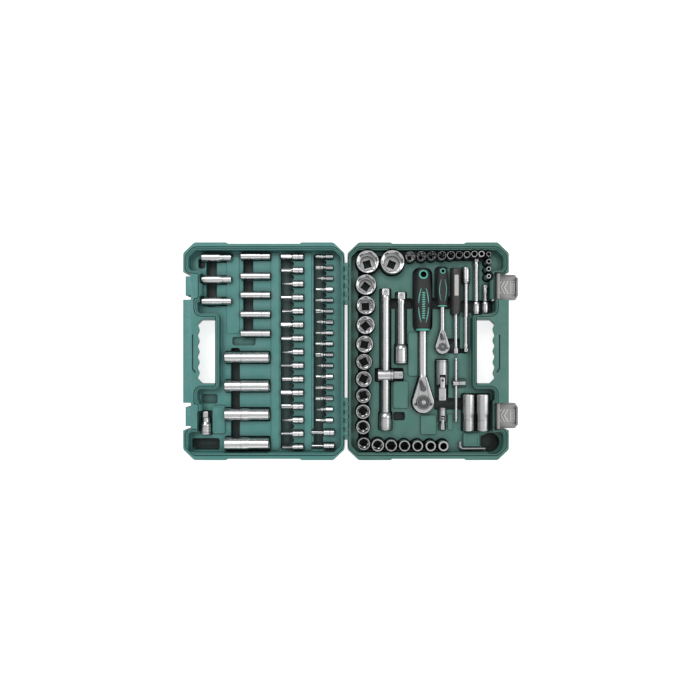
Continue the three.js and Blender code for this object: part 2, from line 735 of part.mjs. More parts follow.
function ratchet(label, size) {
  const { x, headY, headRadius, gripStart, gripEnd, gripRadius, shank, leverY, capRadius, drive } = size;
  const faceTop = size.axis + size.thick / 2;
  const faceBottom = size.axis - size.thick / 2;
  const shankEdge = shank / 2;
  const slope = headY + headRadius * 2.3;
  const head = prism(headOutline(x, headY, headRadius, shankEdge, slope), faceBottom, faceTop);
  const shaft = box(x - shankEdge, x + shankEdge, slope - 4, gripStart + 4, size.axis - 4, size.axis + 4);
  const tangHalf = shankEdge - 1;
  const tang = box(x - tangHalf, x + tangHalf, gripStart, gripEnd - 22, size.axis - 3, size.axis + 3);
  const spindle = drive * 0.74;
  const stem = size.lever * 0.28;
  const body = head
    .add(shaft)
    .add(tang)
    .subtract(disc(x, headY, spindle + gap, 0, halfDepth, 16))
    .subtract(disc(x, leverY, stem + gap, faceTop - 6, halfDepth, 8));
  add(`ratchet_${label}_body`, body, chrome);

  const length = gripEnd - gripStart;
  const gripForm = solidOf(
    turned(
      [
        [0, 0],
        [gripRadius * 0.72, 0],
        [gripRadius * 0.8, length * 0.1],
        [gripRadius * 0.86, length * 0.35],
        [gripRadius, length * 0.72],
        [gripRadius * 0.9, length * 0.93],
        [gripRadius * 0.62, length],
        [0, length],
      ],
      14,
    ),
    new THREE.Matrix4().makeScale(1, size.gripFlat, 1),
  );
  const grip = laid(gripForm, "+y", x, gripStart, size.axis)
    .subtract(
      box(
        x - tangHalf - gap,
        x + tangHalf + gap,
        gripStart - above,
        gripEnd - 22 + gap,
        size.axis - 3 - gap,
        size.axis + 3 + gap,
      ),
    )
    .subtract(
      box(x - shankEdge - gap, x + shankEdge + gap, gripStart - above, gripStart + 4 + gap, 0, size.axis + 4 + gap)
        .intersect(box(x - shank, x + shank, gripStart - 2, gripStart + 5, size.axis - 4 - gap, halfDepth)),
    )
    .subtract(disc(x, size.holeY, size.holeRadius, 0, halfDepth, 12));
  add(`ratchet_${label}_grip`, grip, gripRubber);

  const leverForm = disc(0, 0, size.lever * 0.42, 0, 3, 10).add(
    prism(
      [
        [-size.lever * 0.36, 0],
        [size.lever * 0.36, 0],
        [size.lever * 0.2, size.lever * 1.5],
        [-size.lever * 0.2, size.lever * 1.5],
      ],
      0,
      3,
    ),
  );
  const lever = leverForm.add(disc(0, 0, stem, -5.5, 1, 8));
  const tilt = new THREE.Matrix4()
    .makeTranslation(x, leverY, faceTop + gap)
    .multiply(new THREE.Matrix4().makeRotationZ((size.tilt * Math.PI) / 180));
  add(`ratchet_${label}_lever`, solidOf(geometryOf(lever), tilt), darkSteel);

  const capTop = faceTop + gap + 2;
  const driveEnd = faceBottom - drive * 1.25;
  let core = disc(x, headY, spindle, faceBottom, faceTop + gap + 1, 16)
    .add(disc(x, headY, capRadius, faceTop + gap, capTop, 16))
    .add(
      box(
        x - drive / 2 + 0.1,
        x + drive / 2 - 0.1,
        headY - drive / 2 + 0.1,
        headY + drive / 2 - 0.1,
        driveEnd,
        faceBottom + 1,
      ),
    );
  if (size.button) {
    core = core.subtract(disc(x, headY, size.button + gap, faceTop - 6, halfDepth, 10));
    add(`ratchet_${label}_button`, disc(x, headY, size.button, faceTop - 3.5, capTop + 2, 10), chrome);
  }
  add(`ratchet_${label}_drive`, core, satinSteel);

  const nestOutline = (grow) =>
    headOutline(x, headY, headRadius + nest + grow, shankEdge + nest + grow, slope + nest + grow);
  pocket("base", nestOutline, faceBottom - lift);
  discPocket("base", x, headY, (drive / 2) * Math.SQRT2 + nest, driveEnd - lift, 12);
  boxPocket("base", x - shankEdge - nest, x + shankEdge + nest, headY, gripStart + 5, size.axis - 4 - lift);
  const gripHeight = gripRadius * size.gripFlat;
  boxPocket(
    "base",
    x - gripRadius - nest,
    x + gripRadius + nest,
    gripStart - nest,
    gripEnd + nest,
    size.axis - gripHeight - lift,
  );
}

ratchet("half", {
  x: 136.4,
  axis: barAxis,
  thick: 16,
  headY: -90,
  headRadius: 19.3,
  gripStart: 36.5,
  gripEnd: 147.6,
  gripRadius: 16,
  gripFlat: 0.84,
  shank: 12.5,
  leverY: -66,
  lever: 11,
  tilt: 20,
  capRadius: 12.2,
  drive: halfDrive,
  button: 4,
  holeY: 135.4,
  holeRadius: 5.4,
});

ratchet("quarter", {
  x: 170.8,
  axis: barAxis + 1,
  thick: 11,
  headY: 7.9,
  headRadius: 12.4,
  gripStart: 79.3,
  gripEnd: 149.8,
  gripRadius: 11.2,
  gripFlat: 0.9,
  shank: 8,
  leverY: 22.5,
  lever: 7,
  tilt: 20,
  capRadius: 6.8,
  drive: quarterDrive,
  button: 0,
  holeY: 141.6,
  holeRadius: 3,
});

// ---------------------------------------------------------------- spinner handle

const spinnerX = 194.7;
const spinnerRadius = 9.4;
const spinnerGrip = [66, 147.6];
const spinnerEnd = -3.8;
const shaftRadius = 3;
const shaftDepth = 40;
const spinnerAxis = barAxis + 1;
const gripLathe = solidOf(
  turned(
    [
      [0, 0],
      [spinnerRadius * 0.7, 0],
      [spinnerRadius * 0.8, 8],
      [spinnerRadius, 26],
      [spinnerRadius, 72],
      [spinnerRadius * 0.85, 80],
      [spinnerRadius * 0.5, spinnerGrip[1] - spinnerGrip[0]],
      [0, spinnerGrip[1] - spinnerGrip[0]],
    ],
    12,
  ),
);
add(
  "spinner_grip",
  laid(gripLathe.subtract(disc(0, 0, shaftRadius + gap, -above, shaftDepth + gap)), "+y", spinnerX, spinnerGrip[0], spinnerAxis),
  gripRubber,
);
const shaftLength = spinnerGrip[0] + shaftDepth - spinnerEnd;
const shaftSolid = disc(0, 0, shaftRadius, 9, shaftLength).add(flats(4, quarterDrive - 0.2, 0, 10));
add("spinner_shaft", laid(shaftSolid, "+y", spinnerX, spinnerEnd, spinnerAxis), chrome);
lyingPocket("base", spinnerX, spinnerGrip[0], spinnerGrip[1], spinnerRadius, spinnerAxis);
lyingPocket("base", spinnerX, spinnerEnd, spinnerGrip[0] + 2, quarterDrive * 0.72, spinnerAxis);

// ---------------------------------------------------------------- hexagon key

const [, lastSocketX, , lastSocketRadius] = standingSockets.at(-1);
const keyCorner = [lastSocketX + Math.max(lastSocketRadius, driveEndRadius(lastSocketRadius, halfDrive)) + 22.094, -173];
const keyLong = 45;
const keyShort = 13;
const keyAcross = 4;
const keyBend = 5;
const keyPath = new THREE.CurvePath();
const keyPoint = (x, y) => new THREE.Vector3(keyCorner[0] + x, keyCorner[1] + y, barAxis);
keyPath.add(new THREE.LineCurve3(keyPoint(0, keyShort), keyPoint(0, keyBend)));
keyPath.add(new THREE.QuadraticBezierCurve3(keyPoint(0, keyBend), keyPoint(0, 0), keyPoint(keyBend, 0)));
keyPath.add(new THREE.LineCurve3(keyPoint(keyBend, 0), keyPoint(keyLong, 0)));
const keySection = new THREE.Shape(
  ring(0, 0, keyAcross / 2 / Math.cos(Math.PI / 6), 6, Math.PI / 6).map(([x, y]) => new THREE.Vector2(x, y)),
);
add(
  "hex_key",
  solidOf(new THREE.ExtrudeGeometry(keySection, { steps: 24, bevelEnabled: false, extrudePath: keyPath })),
  satinSteel,
);
const keyFloor = barAxis - keyAcross / 2 - 0.5;
boxPocket("base", keyCorner[0] - 3.2, keyCorner[0] + keyLong + 1, -177, -170, keyFloor);
boxPocket("base", keyCorner[0] - 3.2, keyCorner[0] + 3.2, -177, keyCorner[1] + keyShort + 1, keyFloor);

// ---------------------------------------------------------------- pockets of the small pieces and finger room

// The smaller standing sockets share one trench along the end of the base, and so do the smallest.
boxPocket("base", 103, 259, 161, 178, 19);
boxPocket("base", 243, 259, 123, 178, 19);
// Finger room across the tools, an empty round pocket and a small empty recess.
boxPocket("base", 77, 119, 76, 95, 12);
boxPocket("base", 151, 190, 76, 96, 14);
boxPocket("base", 205, 255, 76, 91, 16);
boxPocket("base", 157, 208, -104, -84, 14);
boxPocket("base", 84, 104, -122, -108, 14);
discPocket("base", 258, -164, 13, 8, 14);

// Rows of pieces in the lid: [x0, x1, half width of one pocket, floor, places along Y]
const row = (first, step, count) => Array.from({ length: count }, (_, i) => first - i * step);
const lidRows = [
  [-256.3, -202.7, 8, 22, [167, 127.7, 89.2]],
  [-187.4, -133.8, 6.8, 23, [169.1, 134, 100.4, 66.1, 31.8]],
  [-115.4, -75.5, 6.1, 24, row(168.5, 24.2, 15)],
  [-54, -22.6, 4.6, 24, row(168.6, 19.4, 16)],
  [-61.4, -20.4, 6.1, 24, [-144.2, -168.3]],
];
for (const [x0, x1, half, floor, places] of lidRows) {
  for (const y of places) boxPocket("lid", x0, x1, y - half, y + half, floor);
}
// Finger room behind each row, and two empty pockets.
boxPocket("lid", -250, -231, 80, 172, 12);
boxPocket("lid", -184, -166, 24, 174, 12);
boxPocket("lid", -117, -100, -176, 174, 14);
boxPocket("lid", -58, -41, -174, 174, 14);
boxPocket("lid", -206, -190, -172, 6, 12);
boxPocket("lid", -278, -226, -178, -155, 10);

// ---------------------------------------------------------------- case, hinge pins and the finished set

add("case_base", caseHalf(1), basePlastic);
add("case_lid", caseHalf(-1), lidPlastic);

const hingeSpan = knuckleCount * knucklePitch;
for (const [name, centre] of [
  ["upper", hingeOffset],
  ["lower", -hingeOffset],
]) {
  const pin = laid(flats(8, 2 * hingePinRadius, 0, hingeSpan), "+y", 0, centre - hingeSpan / 2, halfDepth);
  add(`hinge_pin_${name}`, pin, satinSteel);
}

// The origin is the middle of the open set, on the surface it lies on.
const latchTip = latchPivotX + latchReach;
model.position.x = -(latchTip - frontEdge) / 2;

export default model;
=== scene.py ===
# %% [markdown]
# # A socket wrench set in its blow-moulded case
# The case lies open flat. Its two green halves hold chromed sockets, bars, ratchets and bits in fitted
# pockets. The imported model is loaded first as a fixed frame. It holds every size and joint, so each finer
# piece below is placed from it and rides on one of its bodies.

# %% Load the frame
import json
import math

import bmesh
import bpy
import numpy as np
from mathutils import Matrix, Vector


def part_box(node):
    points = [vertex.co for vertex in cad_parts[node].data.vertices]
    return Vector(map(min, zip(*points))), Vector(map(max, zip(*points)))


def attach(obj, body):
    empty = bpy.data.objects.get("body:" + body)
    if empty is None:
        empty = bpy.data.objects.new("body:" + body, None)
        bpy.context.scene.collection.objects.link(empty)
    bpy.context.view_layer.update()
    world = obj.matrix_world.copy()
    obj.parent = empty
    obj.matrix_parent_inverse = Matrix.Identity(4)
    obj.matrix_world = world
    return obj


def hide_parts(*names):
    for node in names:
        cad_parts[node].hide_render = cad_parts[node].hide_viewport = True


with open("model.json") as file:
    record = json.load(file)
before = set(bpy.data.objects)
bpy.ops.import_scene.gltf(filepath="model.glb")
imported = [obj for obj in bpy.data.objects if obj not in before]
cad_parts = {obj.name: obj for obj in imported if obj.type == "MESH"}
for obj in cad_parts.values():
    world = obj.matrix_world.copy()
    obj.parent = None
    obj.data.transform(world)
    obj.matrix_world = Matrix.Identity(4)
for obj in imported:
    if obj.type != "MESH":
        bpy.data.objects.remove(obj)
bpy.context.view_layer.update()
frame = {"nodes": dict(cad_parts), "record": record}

MM = 0.001
NODE_BODY = {node: body for body, nodes in frame["record"]["behaviour"]["bodies"].items() for node in nodes}
NODE_SLOT = {part["node"]: part["material_slot"] for part in frame["record"]["subparts"]}


# %% [markdown]
# All sizes below are in millimetres, because tools are drawn that way. X is counted from the hinge line, Y
# from the middle of the case and Z from the bench. The hinge pins of the frame say where that line is.

# %% Millimetres from the hinge line
def mm_box(node):
    """A frame node's lowest and highest corner in millimetres, with X counted from the hinge line."""
    low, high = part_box(node)
    shift = Vector((HINGE_X, 0, 0))
    return (Vector(low) - shift) / MM, (Vector(high) - shift) / MM


pin_low, pin_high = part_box("hinge_pin_upper")
HINGE_X = (pin_low[0] + pin_high[0]) / 2
_, base_high = mm_box("case_base")
PARTING = (pin_low[2] + pin_high[2]) / 2 / MM
RIM = PARTING - 0.15
FRONT = base_high.x
SIDE = base_high.y
print(f"hinge line at x = {HINGE_X:.4f} m, parting plane {PARTING:.1f} mm up")
print(f"each half reaches {FRONT:.1f} mm from the hinge line")

# %% [markdown]
# Every piece ends as a plain mesh at the origin, unturned, with its place in its vertices. Doubles are
# merged
# and faces turned outwards as each mesh is made. `finish_mesh` then does the rest in one way for all of
# them:
# it shades smooth up to a crease angle, hides the frame nodes the piece stands for and hangs the piece on
# the body it rides on.

# %% Finishing a mesh
made = []


def new_object(name, verts, faces, material=None):
    """A mesh object from points in millimetres."""
    mesh = bpy.data.meshes.new(name)
    mesh.from_pydata([tuple(v) for v in verts], [], faces)
    if material:
        mesh.materials.append(material)
    obj = bpy.data.objects.new(name, mesh)
    bpy.context.scene.collection.objects.link(obj)
    tidy_mesh(mesh)
    return obj


def tidy_mesh(mesh):
    """Merges doubles and points the faces of a closed mesh outwards."""
    work = bmesh.new()
    work.from_mesh(mesh)
    bmesh.ops.remove_doubles(work, verts=work.verts, dist=0.0008)
    bmesh.ops.dissolve_degenerate(work, edges=work.edges, dist=0.0008)
    bmesh.ops.recalc_face_normals(work, faces=work.faces)
    work.to_mesh(mesh)
    work.free()


def finish_mesh(obj, body, crease=35, replaces=(), slot=None, weighted=True):
    mesh = obj.data
    obj.name = mesh.name = obj.name.replace(" ", "_")
    mesh.transform(Matrix.Translation((HINGE_X, 0, 0)) @ Matrix.Scale(MM, 4))
    mesh.shade_smooth()
    mesh.set_sharp_from_angle(angle=math.radians(crease))
    if weighted:
        modifier = obj.modifiers.new("even shading", "WEIGHTED_NORMAL")
        modifier.keep_sharp = True
        bake_modifiers(obj)
    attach(obj, body)
    if replaces:
        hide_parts(*replaces)
        slot = slot or NODE_SLOT[replaces[0]]
    made.append(obj.name)
    return obj


def bake_modifiers(obj):
    """Turns what an object's modifiers make into its own plain mesh."""
    graph = bpy.context.evaluated_depsgraph_get()
    mesh = bpy.data.meshes.new_from_object(obj.evaluated_get(graph), depsgraph=graph)
    obj.modifiers.clear()
    old = obj.data
    obj.data = mesh
    bpy.data.meshes.remove(old)


def combine(main, tools, operation):
    """Joins tools to main or cuts them from it, one after another, and removes them."""
    for tool in tools:
        modifier = main.modifiers.new(operation, "BOOLEAN")
        modifier.operation = operation
        modifier.solver = "MANIFOLD"
        modifier.object = tool
        bake_modifiers(main)
        mesh = tool.data
        bpy.data.objects.remove(tool)
        bpy.data.meshes.remove(mesh)
    return main


print("mesh helpers ready")

# %% [markdown]
# Nearly every tool here is turned, forged or moulded from a section that changes along one line. So one
# helper lofts a skin through a row of rings. A ring may be round, a hexagon, a square or a flattened oval,
# as long as all rings of one piece have the same number of points. 48 points divide by 4 and by 6, so
# corners of both fall on a point.

# %% Rings and lofts
ROUND = 48
AXES = {
    "+z": Matrix.Identity(3),
    "+x": Matrix.Rotation(math.pi / 2, 3, "Y"),
    "-x": Matrix.Rotation(-math.pi / 2, 3, "Y"),
    "+y": Matrix.Rotation(-math.pi / 2, 3, "X"),
    "-y": Matrix.Rotation(math.pi / 2, 3, "X"),
    "-z": Matrix.Rotation(math.pi, 3, "X"),
}


def circle(radius, z, points=ROUND):
    return [(radius * math.cos(a), radius * math.sin(a), z) for a in angles(points)]


def angles(points=ROUND):
    return [2 * math.pi * i / points for i in range(points)]


def flats(count, across, z, points=ROUND, soft=0.0):
    """A ring with flat sides, such as a hexagon. soft rounds its corners."""
    ring = []
    for a in angles(points):
        side = 2 * math.pi / count
        off = (a + side / 2) % side - side / 2
        radius = across / 2 / math.cos(off)
        radius = min(radius, across / 2 * (1 + (1 / math.cos(side / 2) - 1) * (1 - soft)))
        ring.append((radius * math.cos(a), radius * math.sin(a), z))
    return ring


def oval(half_x, half_y, z, power=2.0, points=ROUND):
    """A flattened ring. A power over 2 makes it squarer."""
    ring = []
    for a in angles(points):
        c, s = math.cos(a), math.sin(a)
        ring.append((
            half_x * math.copysign(abs(c) ** (2 / power), c),
            half_y * math.copysign(abs(s) ** (2 / power), s),
            z,
        ))
    return ring


def loft(rings, ends="caps"):
    """Points and faces of a skin through rings. ends is "caps", or "loop" to close it."""
    count = len(rings[0])
    verts = [p for ring in rings for p in ring]
    faces = []
    pairs = list(zip(range(len(rings)), range(1, len(rings))))
    if ends == "loop":
        pairs.append((len(rings) - 1, 0))
    for low, high in pairs:
        for i in range(count):
            j = (i + 1) % count
            faces.append((low * count + i, low * count + j, high * count + j, high * count + i))
    if ends == "caps":
        faces.append(tuple(range(count - 1, -1, -1)))
        faces.append(tuple(range((len(rings) - 1) * count, len(rings) * count)))
    return verts, faces


def lofted(name, rings, material, axis="+z", at=(0, 0, 0), ends="caps"):
    verts, faces = loft(rings, ends)
    place = Vector(at)
    return new_object(name, [AXES[axis] @ Vector(v) + place for v in verts], faces, material)


print("loft helpers ready,", ROUND, "points to a ring")

# %% [markdown]
# A blow-moulded tray has no sharp corner: each pocket has round corners in plan, a rolled lip and a round
# foot. The helper below offsets an outline and rounds its corners with the same number of points each time,
# so that offsets of one outline can be lofted into a cutter that already has its lip and foot.

# %% Rounded outlines
def rounded(points, radius, grow=0.0, steps=4):
    """An outline offset outwards by grow, with its corners rounded. Inner corners keep their own radius."""
    area = sum(a[0] * b[1] - b[0] * a[1] for a, b in zip(points, points[1:] + points[:1]))
    points = [Vector(p[:2]) for p in (points if area > 0 else points[::-1])]
    count = len(points)
    sides = [(points[(i + 1) % count] - points[i]).normalized() for i in range(count)]
    corners = []
    for i, point in enumerate(points):
        before, after = sides[i - 1], sides[i]
        across = Vector((before.y, -before.x)) + Vector((after.y, -after.x))
        across /= max(across.length_squared, 1e-9) / 2
        corners.append(point + across * grow)
    ring = []
    for i, corner in enumerate(corners):
        before, after = sides[i - 1], sides[i]
        turn = math.atan2(before.x * after.y - before.y * after.x, before.dot(after))
        wanted = max(radius + grow, 0.05) if turn > 0 else max(radius - grow, 0.1)
        shortest = min((corner - corners[i - 1]).length, (corners[(i + 1) % count] - corner).length)
        reach = min(wanted * abs(math.tan(turn / 2)), shortest * 0.49)
        size = reach / max(abs(math.tan(turn / 2)), 1e-6)
        start = corner - before * reach
        side = 1 if turn > 0 else -1
        centre = start + Vector((-before.y, before.x)) * size * side
        for k in range(steps + 1):
            swing = turn * k / steps
            arm = start - centre
            ring.append(centre + Matrix.Rotation(swing, 2) @ arm)
    return ring


def at_height(outline, z):
    return [(p[0], p[1], z) for p in outline]


def curve_of(radius, steps=3):
    """(sideways, upwards) steps of a quarter round, from flat to upright."""
    return [
        (radius * math.cos(math.pi / 2 * k / steps), radius * math.sin(math.pi / 2 * k / steps))
        for k in range(steps + 1)
    ]


def pocket_rings(outline_at, floor, top, lip, foot, draft=0.25):
    """Rings of a cutter that opens upwards: a round foot, a wall with some draft and a rolled lip."""
    rings = [
        at_height(outline_at(-draft - foot + c), floor + foot - s)
        for c, s in curve_of(foot)[::-1]
    ]
    for c, s in curve_of(lip):
        rings.append(at_height(outline_at(lip - c), top - lip + s))
    rings.append(at_height(outline_at(lip), PARTING + 12))
    return rings


def pocket(points, radius, floor, top=None, lip=1.1, foot=1.5, grown=0.0):
    top = TRAY if top is None else top
    foot = min(foot, max((top - floor) * 0.4, 0.2))
    lip = min(lip, (top - floor) * 0.5)
    verts, faces = loft(pocket_rings(lambda grow: rounded(points, radius, grow + grown), floor, top, lip,
                                     foot))
    return new_object("cutter", verts, faces)


def slot_pocket(x0, x1, y0, y1, floor, radius=2.5, **more):
    points = [(x0, y0), (x1, y0), (x1, y1), (x0, y1)]
    radius = min(radius, 0.48 * abs(x1 - x0), 0.48 * abs(y1 - y0))
    return pocket(points, radius, floor, **more)


def round_pocket(x, y, radius, floor, **more):
    verts, faces = loft(
        pocket_rings(
            lambda grow: [(x + (radius + grow) * math.cos(a),
                           y + (radius + grow) * math.sin(a)) for a in angles(36)],
            floor, more.get("top", TRAY), 1.1, 1.2,
        )
    )
    return new_object("cutter", verts, faces)


def raised(x0, x1, y0, y1, height, radius=3, lip=1.0):
    """A block that stands out of the tray's face, with a rolled top edge."""
    points = [(x0, y0), (x1, y0), (x1, y1), (x0, y1)]
    rings = [at_height(rounded(points, radius, 0), TRAY - 3),
             at_height(rounded(points, radius, 0), height - lip)]
    rings += [at_height(rounded(points, radius, c - lip), height - lip + s) for c, s in curve_of(lip)[1:]]
    verts, faces = loft(rings)
    return new_object("block", verts, faces)


TRAY = 26.0
print("pocket helpers ready, tray face", TRAY, "mm up")

# %% [markdown]
# ## Finishes
# Five effects are used by several finishes, so each is a node group made once: the fine grain of a moulded
# or satin surface, a mask for rubbed edges, a mask of dust that settles on faces that look up, the fine
# lines that polishing leaves on steel, and a mask of painted shade for corners and the depths of the
# pockets, where little light comes. Each group puts out only a value or a mask. The Principled shader stays
# in the material itself, and numbers that are the same all over are set on its own sockets.

# %% Shader node groups
def shader_group(name, inputs, outputs):
    tree = bpy.data.node_groups.new(name, "ShaderNodeTree")
    for label, value in inputs.items():
        socket = tree.interface.new_socket(label, in_out="INPUT", socket_type="NodeSocketFloat")
        socket.default_value = value
    for label in outputs:
        tree.interface.new_socket(label, in_out="OUTPUT", socket_type="NodeSocketFloat")
    return tree, tree.nodes.new("NodeGroupInput"), tree.nodes.new("NodeGroupOutput")


def node(tree, kind, links=(), **settings):
    """A node with its settings, and links given as (socket it takes, where from)."""
    item = tree.nodes.new(kind)
    for key, value in settings.items():
        if key.startswith("in_"):
            item.inputs[int(key[3:])].default_value = value
        else:
            setattr(item, key, value)
    for socket, source in links:
        tree.links.new(source, item.inputs[socket])
    return item


def grain_group():
    tree, inside, outside = shader_group("moulded grain", {"Scale": 900.0, "Spread": 0.1},
                                         ["Height", "Roughness"])
    place = node(tree, "ShaderNodeTexCoord")
    fine = node(tree, "ShaderNodeTexNoise",
                [("Vector", place.outputs["Object"]), ("Scale", inside.outputs["Scale"])])
    fine.inputs["Detail"].default_value = 3.0
    slow = node(tree, "ShaderNodeTexNoise", [("Vector", place.outputs["Object"])])
    slow.inputs["Scale"].default_value = 28.0
    tree.links.new(fine.outputs["Fac"], outside.inputs["Height"])
    centred = node(tree, "ShaderNodeMath", [(0, slow.outputs["Fac"])], operation="SUBTRACT", in_1=0.5)
    spread = node(tree, "ShaderNodeMath", [(0, centred.outputs[0]), (1, inside.outputs["Spread"])],
                  operation="MULTIPLY")
    tree.links.new(spread.outputs[0], outside.inputs["Roughness"])
    return tree


def rubbed_group():
    tree, inside, outside = shader_group("rubbed edges", {"Start": 0.52, "End": 0.62, "Breakup": 0.6},
                                         ["Mask"])
    shape = node(tree, "ShaderNodeNewGeometry")
    place = node(tree, "ShaderNodeTexCoord")
    edge = node(tree, "ShaderNodeMapRange", [
        ("Value", shape.outputs["Pointiness"]), ("From Min", inside.outputs["Start"]),
        ("From Max", inside.outputs["End"]),
    ])
    noise = node(tree, "ShaderNodeTexNoise", [("Vector", place.outputs["Object"])])
    noise.inputs["Scale"].default_value = 160.0
    broken = node(tree, "ShaderNodeMath", [(0, noise.outputs["Fac"]), (1, inside.outputs["Breakup"])],
                  operation="MULTIPLY")
    mask = node(tree, "ShaderNodeMath", [(0, edge.outputs[0]), (1, broken.outputs[0])],
                operation="MULTIPLY", use_clamp=True)
    tree.links.new(mask.outputs[0], outside.inputs["Mask"])
    return tree


def dust_group():
    tree, inside, outside = shader_group("settled dust", {"Scale": 45.0, "Amount": 0.3}, ["Mask"])
    shape = node(tree, "ShaderNodeNewGeometry")
    place = node(tree, "ShaderNodeTexCoord")
    upward = node(tree, "ShaderNodeSeparateXYZ", [(0, shape.outputs["Normal"])])
    noise = node(tree, "ShaderNodeTexNoise",
                 [("Vector", place.outputs["Object"]), ("Scale", inside.outputs["Scale"])])
    noise.inputs["Detail"].default_value = 6.0
    patch = node(tree, "ShaderNodeMapRange", [("Value", noise.outputs["Fac"])])
    patch.inputs["From Min"].default_value = 0.42
    patch.inputs["From Max"].default_value = 0.75
    facing = node(tree, "ShaderNodeMath", [(0, upward.outputs["Z"]), (1, patch.outputs[0])],
                  operation="MULTIPLY", use_clamp=True)
    mask = node(tree, "ShaderNodeMath", [(0, facing.outputs[0]), (1, inside.outputs["Amount"])],
                operation="MULTIPLY")
    tree.links.new(mask.outputs[0], outside.inputs["Mask"])
    return tree


def polish_group():
    tree, inside, outside = shader_group("polishing lines", {"Across": 700.0, "Spread": 0.12},
                                         ["Height", "Roughness"])
    place = node(tree, "ShaderNodeTexCoord")
    stretch = node(tree, "ShaderNodeVectorMath", [(0, place.outputs["Object"])], operation="MULTIPLY")
    stretch.inputs[1].default_value = (1.0, 0.12, 1.0)
    lines = node(tree, "ShaderNodeTexNoise",
                 [("Vector", stretch.outputs[0]), ("Scale", inside.outputs["Across"])])
    lines.inputs["Detail"].default_value = 4.0
    slow = node(tree, "ShaderNodeTexNoise", [("Vector", place.outputs["Object"])])
    slow.inputs["Scale"].default_value = 90.0
    tree.links.new(lines.outputs["Fac"], outside.inputs["Height"])
    centred = node(tree, "ShaderNodeMath", [(0, slow.outputs["Fac"])], operation="SUBTRACT", in_1=0.5)
    spread = node(tree, "ShaderNodeMath", [(0, centred.outputs[0]), (1, inside.outputs["Spread"])],
                  operation="MULTIPLY")
    tree.links.new(spread.outputs[0], outside.inputs["Roughness"])
    return tree


# Painted shade: ambient occlusion darkens corners and the faces round each tool, and a ramp on height
# darkens the faces from 26 mm down to 12 mm up, deep in the pockets.
def painted_shade_group():
    tree, inside, outside = shader_group(
        "corners and depths", {"Corners": 1.0, "Depths": 0.0, "Top": 0.026, "Bottom": 0.012}, ["Mask"])
    shade = tree.nodes.new("ShaderNodeAmbientOcclusion")
    shade.samples = 6
    shade.inputs["Distance"].default_value = 0.012
    closed = node(tree, "ShaderNodeMath", [(1, shade.outputs["AO"])], operation="SUBTRACT", in_0=1.0)
    corner = node(tree, "ShaderNodeMath", [(0, closed.outputs[0]), (1, inside.outputs["Corners"])],
                  operation="MULTIPLY")
    place = node(tree, "ShaderNodeTexCoord")
    height = node(tree, "ShaderNodeSeparateXYZ", [(0, place.outputs["Object"])])
    depth = node(tree, "ShaderNodeMapRange", [
        ("Value", height.outputs["Z"]), ("From Min", inside.outputs["Top"]),
        ("From Max", inside.outputs["Bottom"]),
    ])
    deep = node(tree, "ShaderNodeMath", [(0, depth.outputs[0]), (1, inside.outputs["Depths"])],
                operation="MULTIPLY")
    mask = node(tree, "ShaderNodeMath", [(0, corner.outputs[0]), (1, deep.outputs[0])], operation="ADD",
                use_clamp=True)
    tree.links.new(mask.outputs[0], outside.inputs["Mask"])
    return tree


GRAIN, RUBBED, DUST, POLISH = grain_group(), rubbed_group(), dust_group(), polish_group()
PAINTED_SHADE = painted_shade_group()
print("groups:", GRAIN.name, "|", RUBBED.name, "|", DUST.name, "|", POLISH.name, "|", PAINTED_SHADE.name)

# %% [markdown]
# The case is polyethylene with its colour all through, so rubbed edges only go a little paler. Chrome is a
# bright metal whose roughness wanders a little. The forged pieces are satin, the grips soft rubber, and the
# latches are a smoked clear plastic that lets the green behind it show.

# %% Materials
def place_group(tree, group, **values):
    item = tree.nodes.new("ShaderNodeGroup")
    item.node_tree = group
    for label, value in values.items():
        item.inputs[label].default_value = value
    return item


def start_material(name, color, roughness, metallic=0.0):
    material = bpy.data.materials.new(name)
    material.use_nodes = True
    tree = material.node_tree
    shader = tree.nodes["Principled BSDF"]
    shader.inputs["Base Color"].default_value = (*color, 1.0)
    shader.inputs["Roughness"].default_value = roughness
    shader.inputs["Metallic"].default_value = metallic
    return material, tree, shader


def mixed_color(tree, first, second, mask):
    mix = node(tree, "ShaderNodeMix", [(0, mask)], data_type="RGBA")
    mix.inputs[6].default_value = (*first, 1.0)
    mix.inputs[7].default_value = (*second, 1.0)
    return mix


def add_bump(tree, shader, height, strength, distance):
    bump = node(tree, "ShaderNodeBump", [("Height", height)])
    bump.inputs["Strength"].default_value = strength
    bump.inputs["Distance"].default_value = distance
    tree.links.new(bump.outputs[0], shader.inputs["Normal"])


def plus(tree, base, source):
    return node(tree, "ShaderNodeMath", [(0, source)], operation="ADD", in_1=base,
                use_clamp=True).outputs[0]


def shaded(tree, shader, source, dark, corners, depths):
    """Paints shade into a colour: darker in corners, round the feet of the tools and down in the pockets.
    """
    shade_mask = place_group(tree, PAINTED_SHADE, Corners=corners, Depths=depths)
    mix = node(tree, "ShaderNodeMix", [(0, shade_mask.outputs[0]), (6, source.outputs[2])], data_type="RGBA")
    mix.inputs[7].default_value = (*dark, 1.0)
    tree.links.new(mix.outputs[2], shader.inputs["Base Color"])


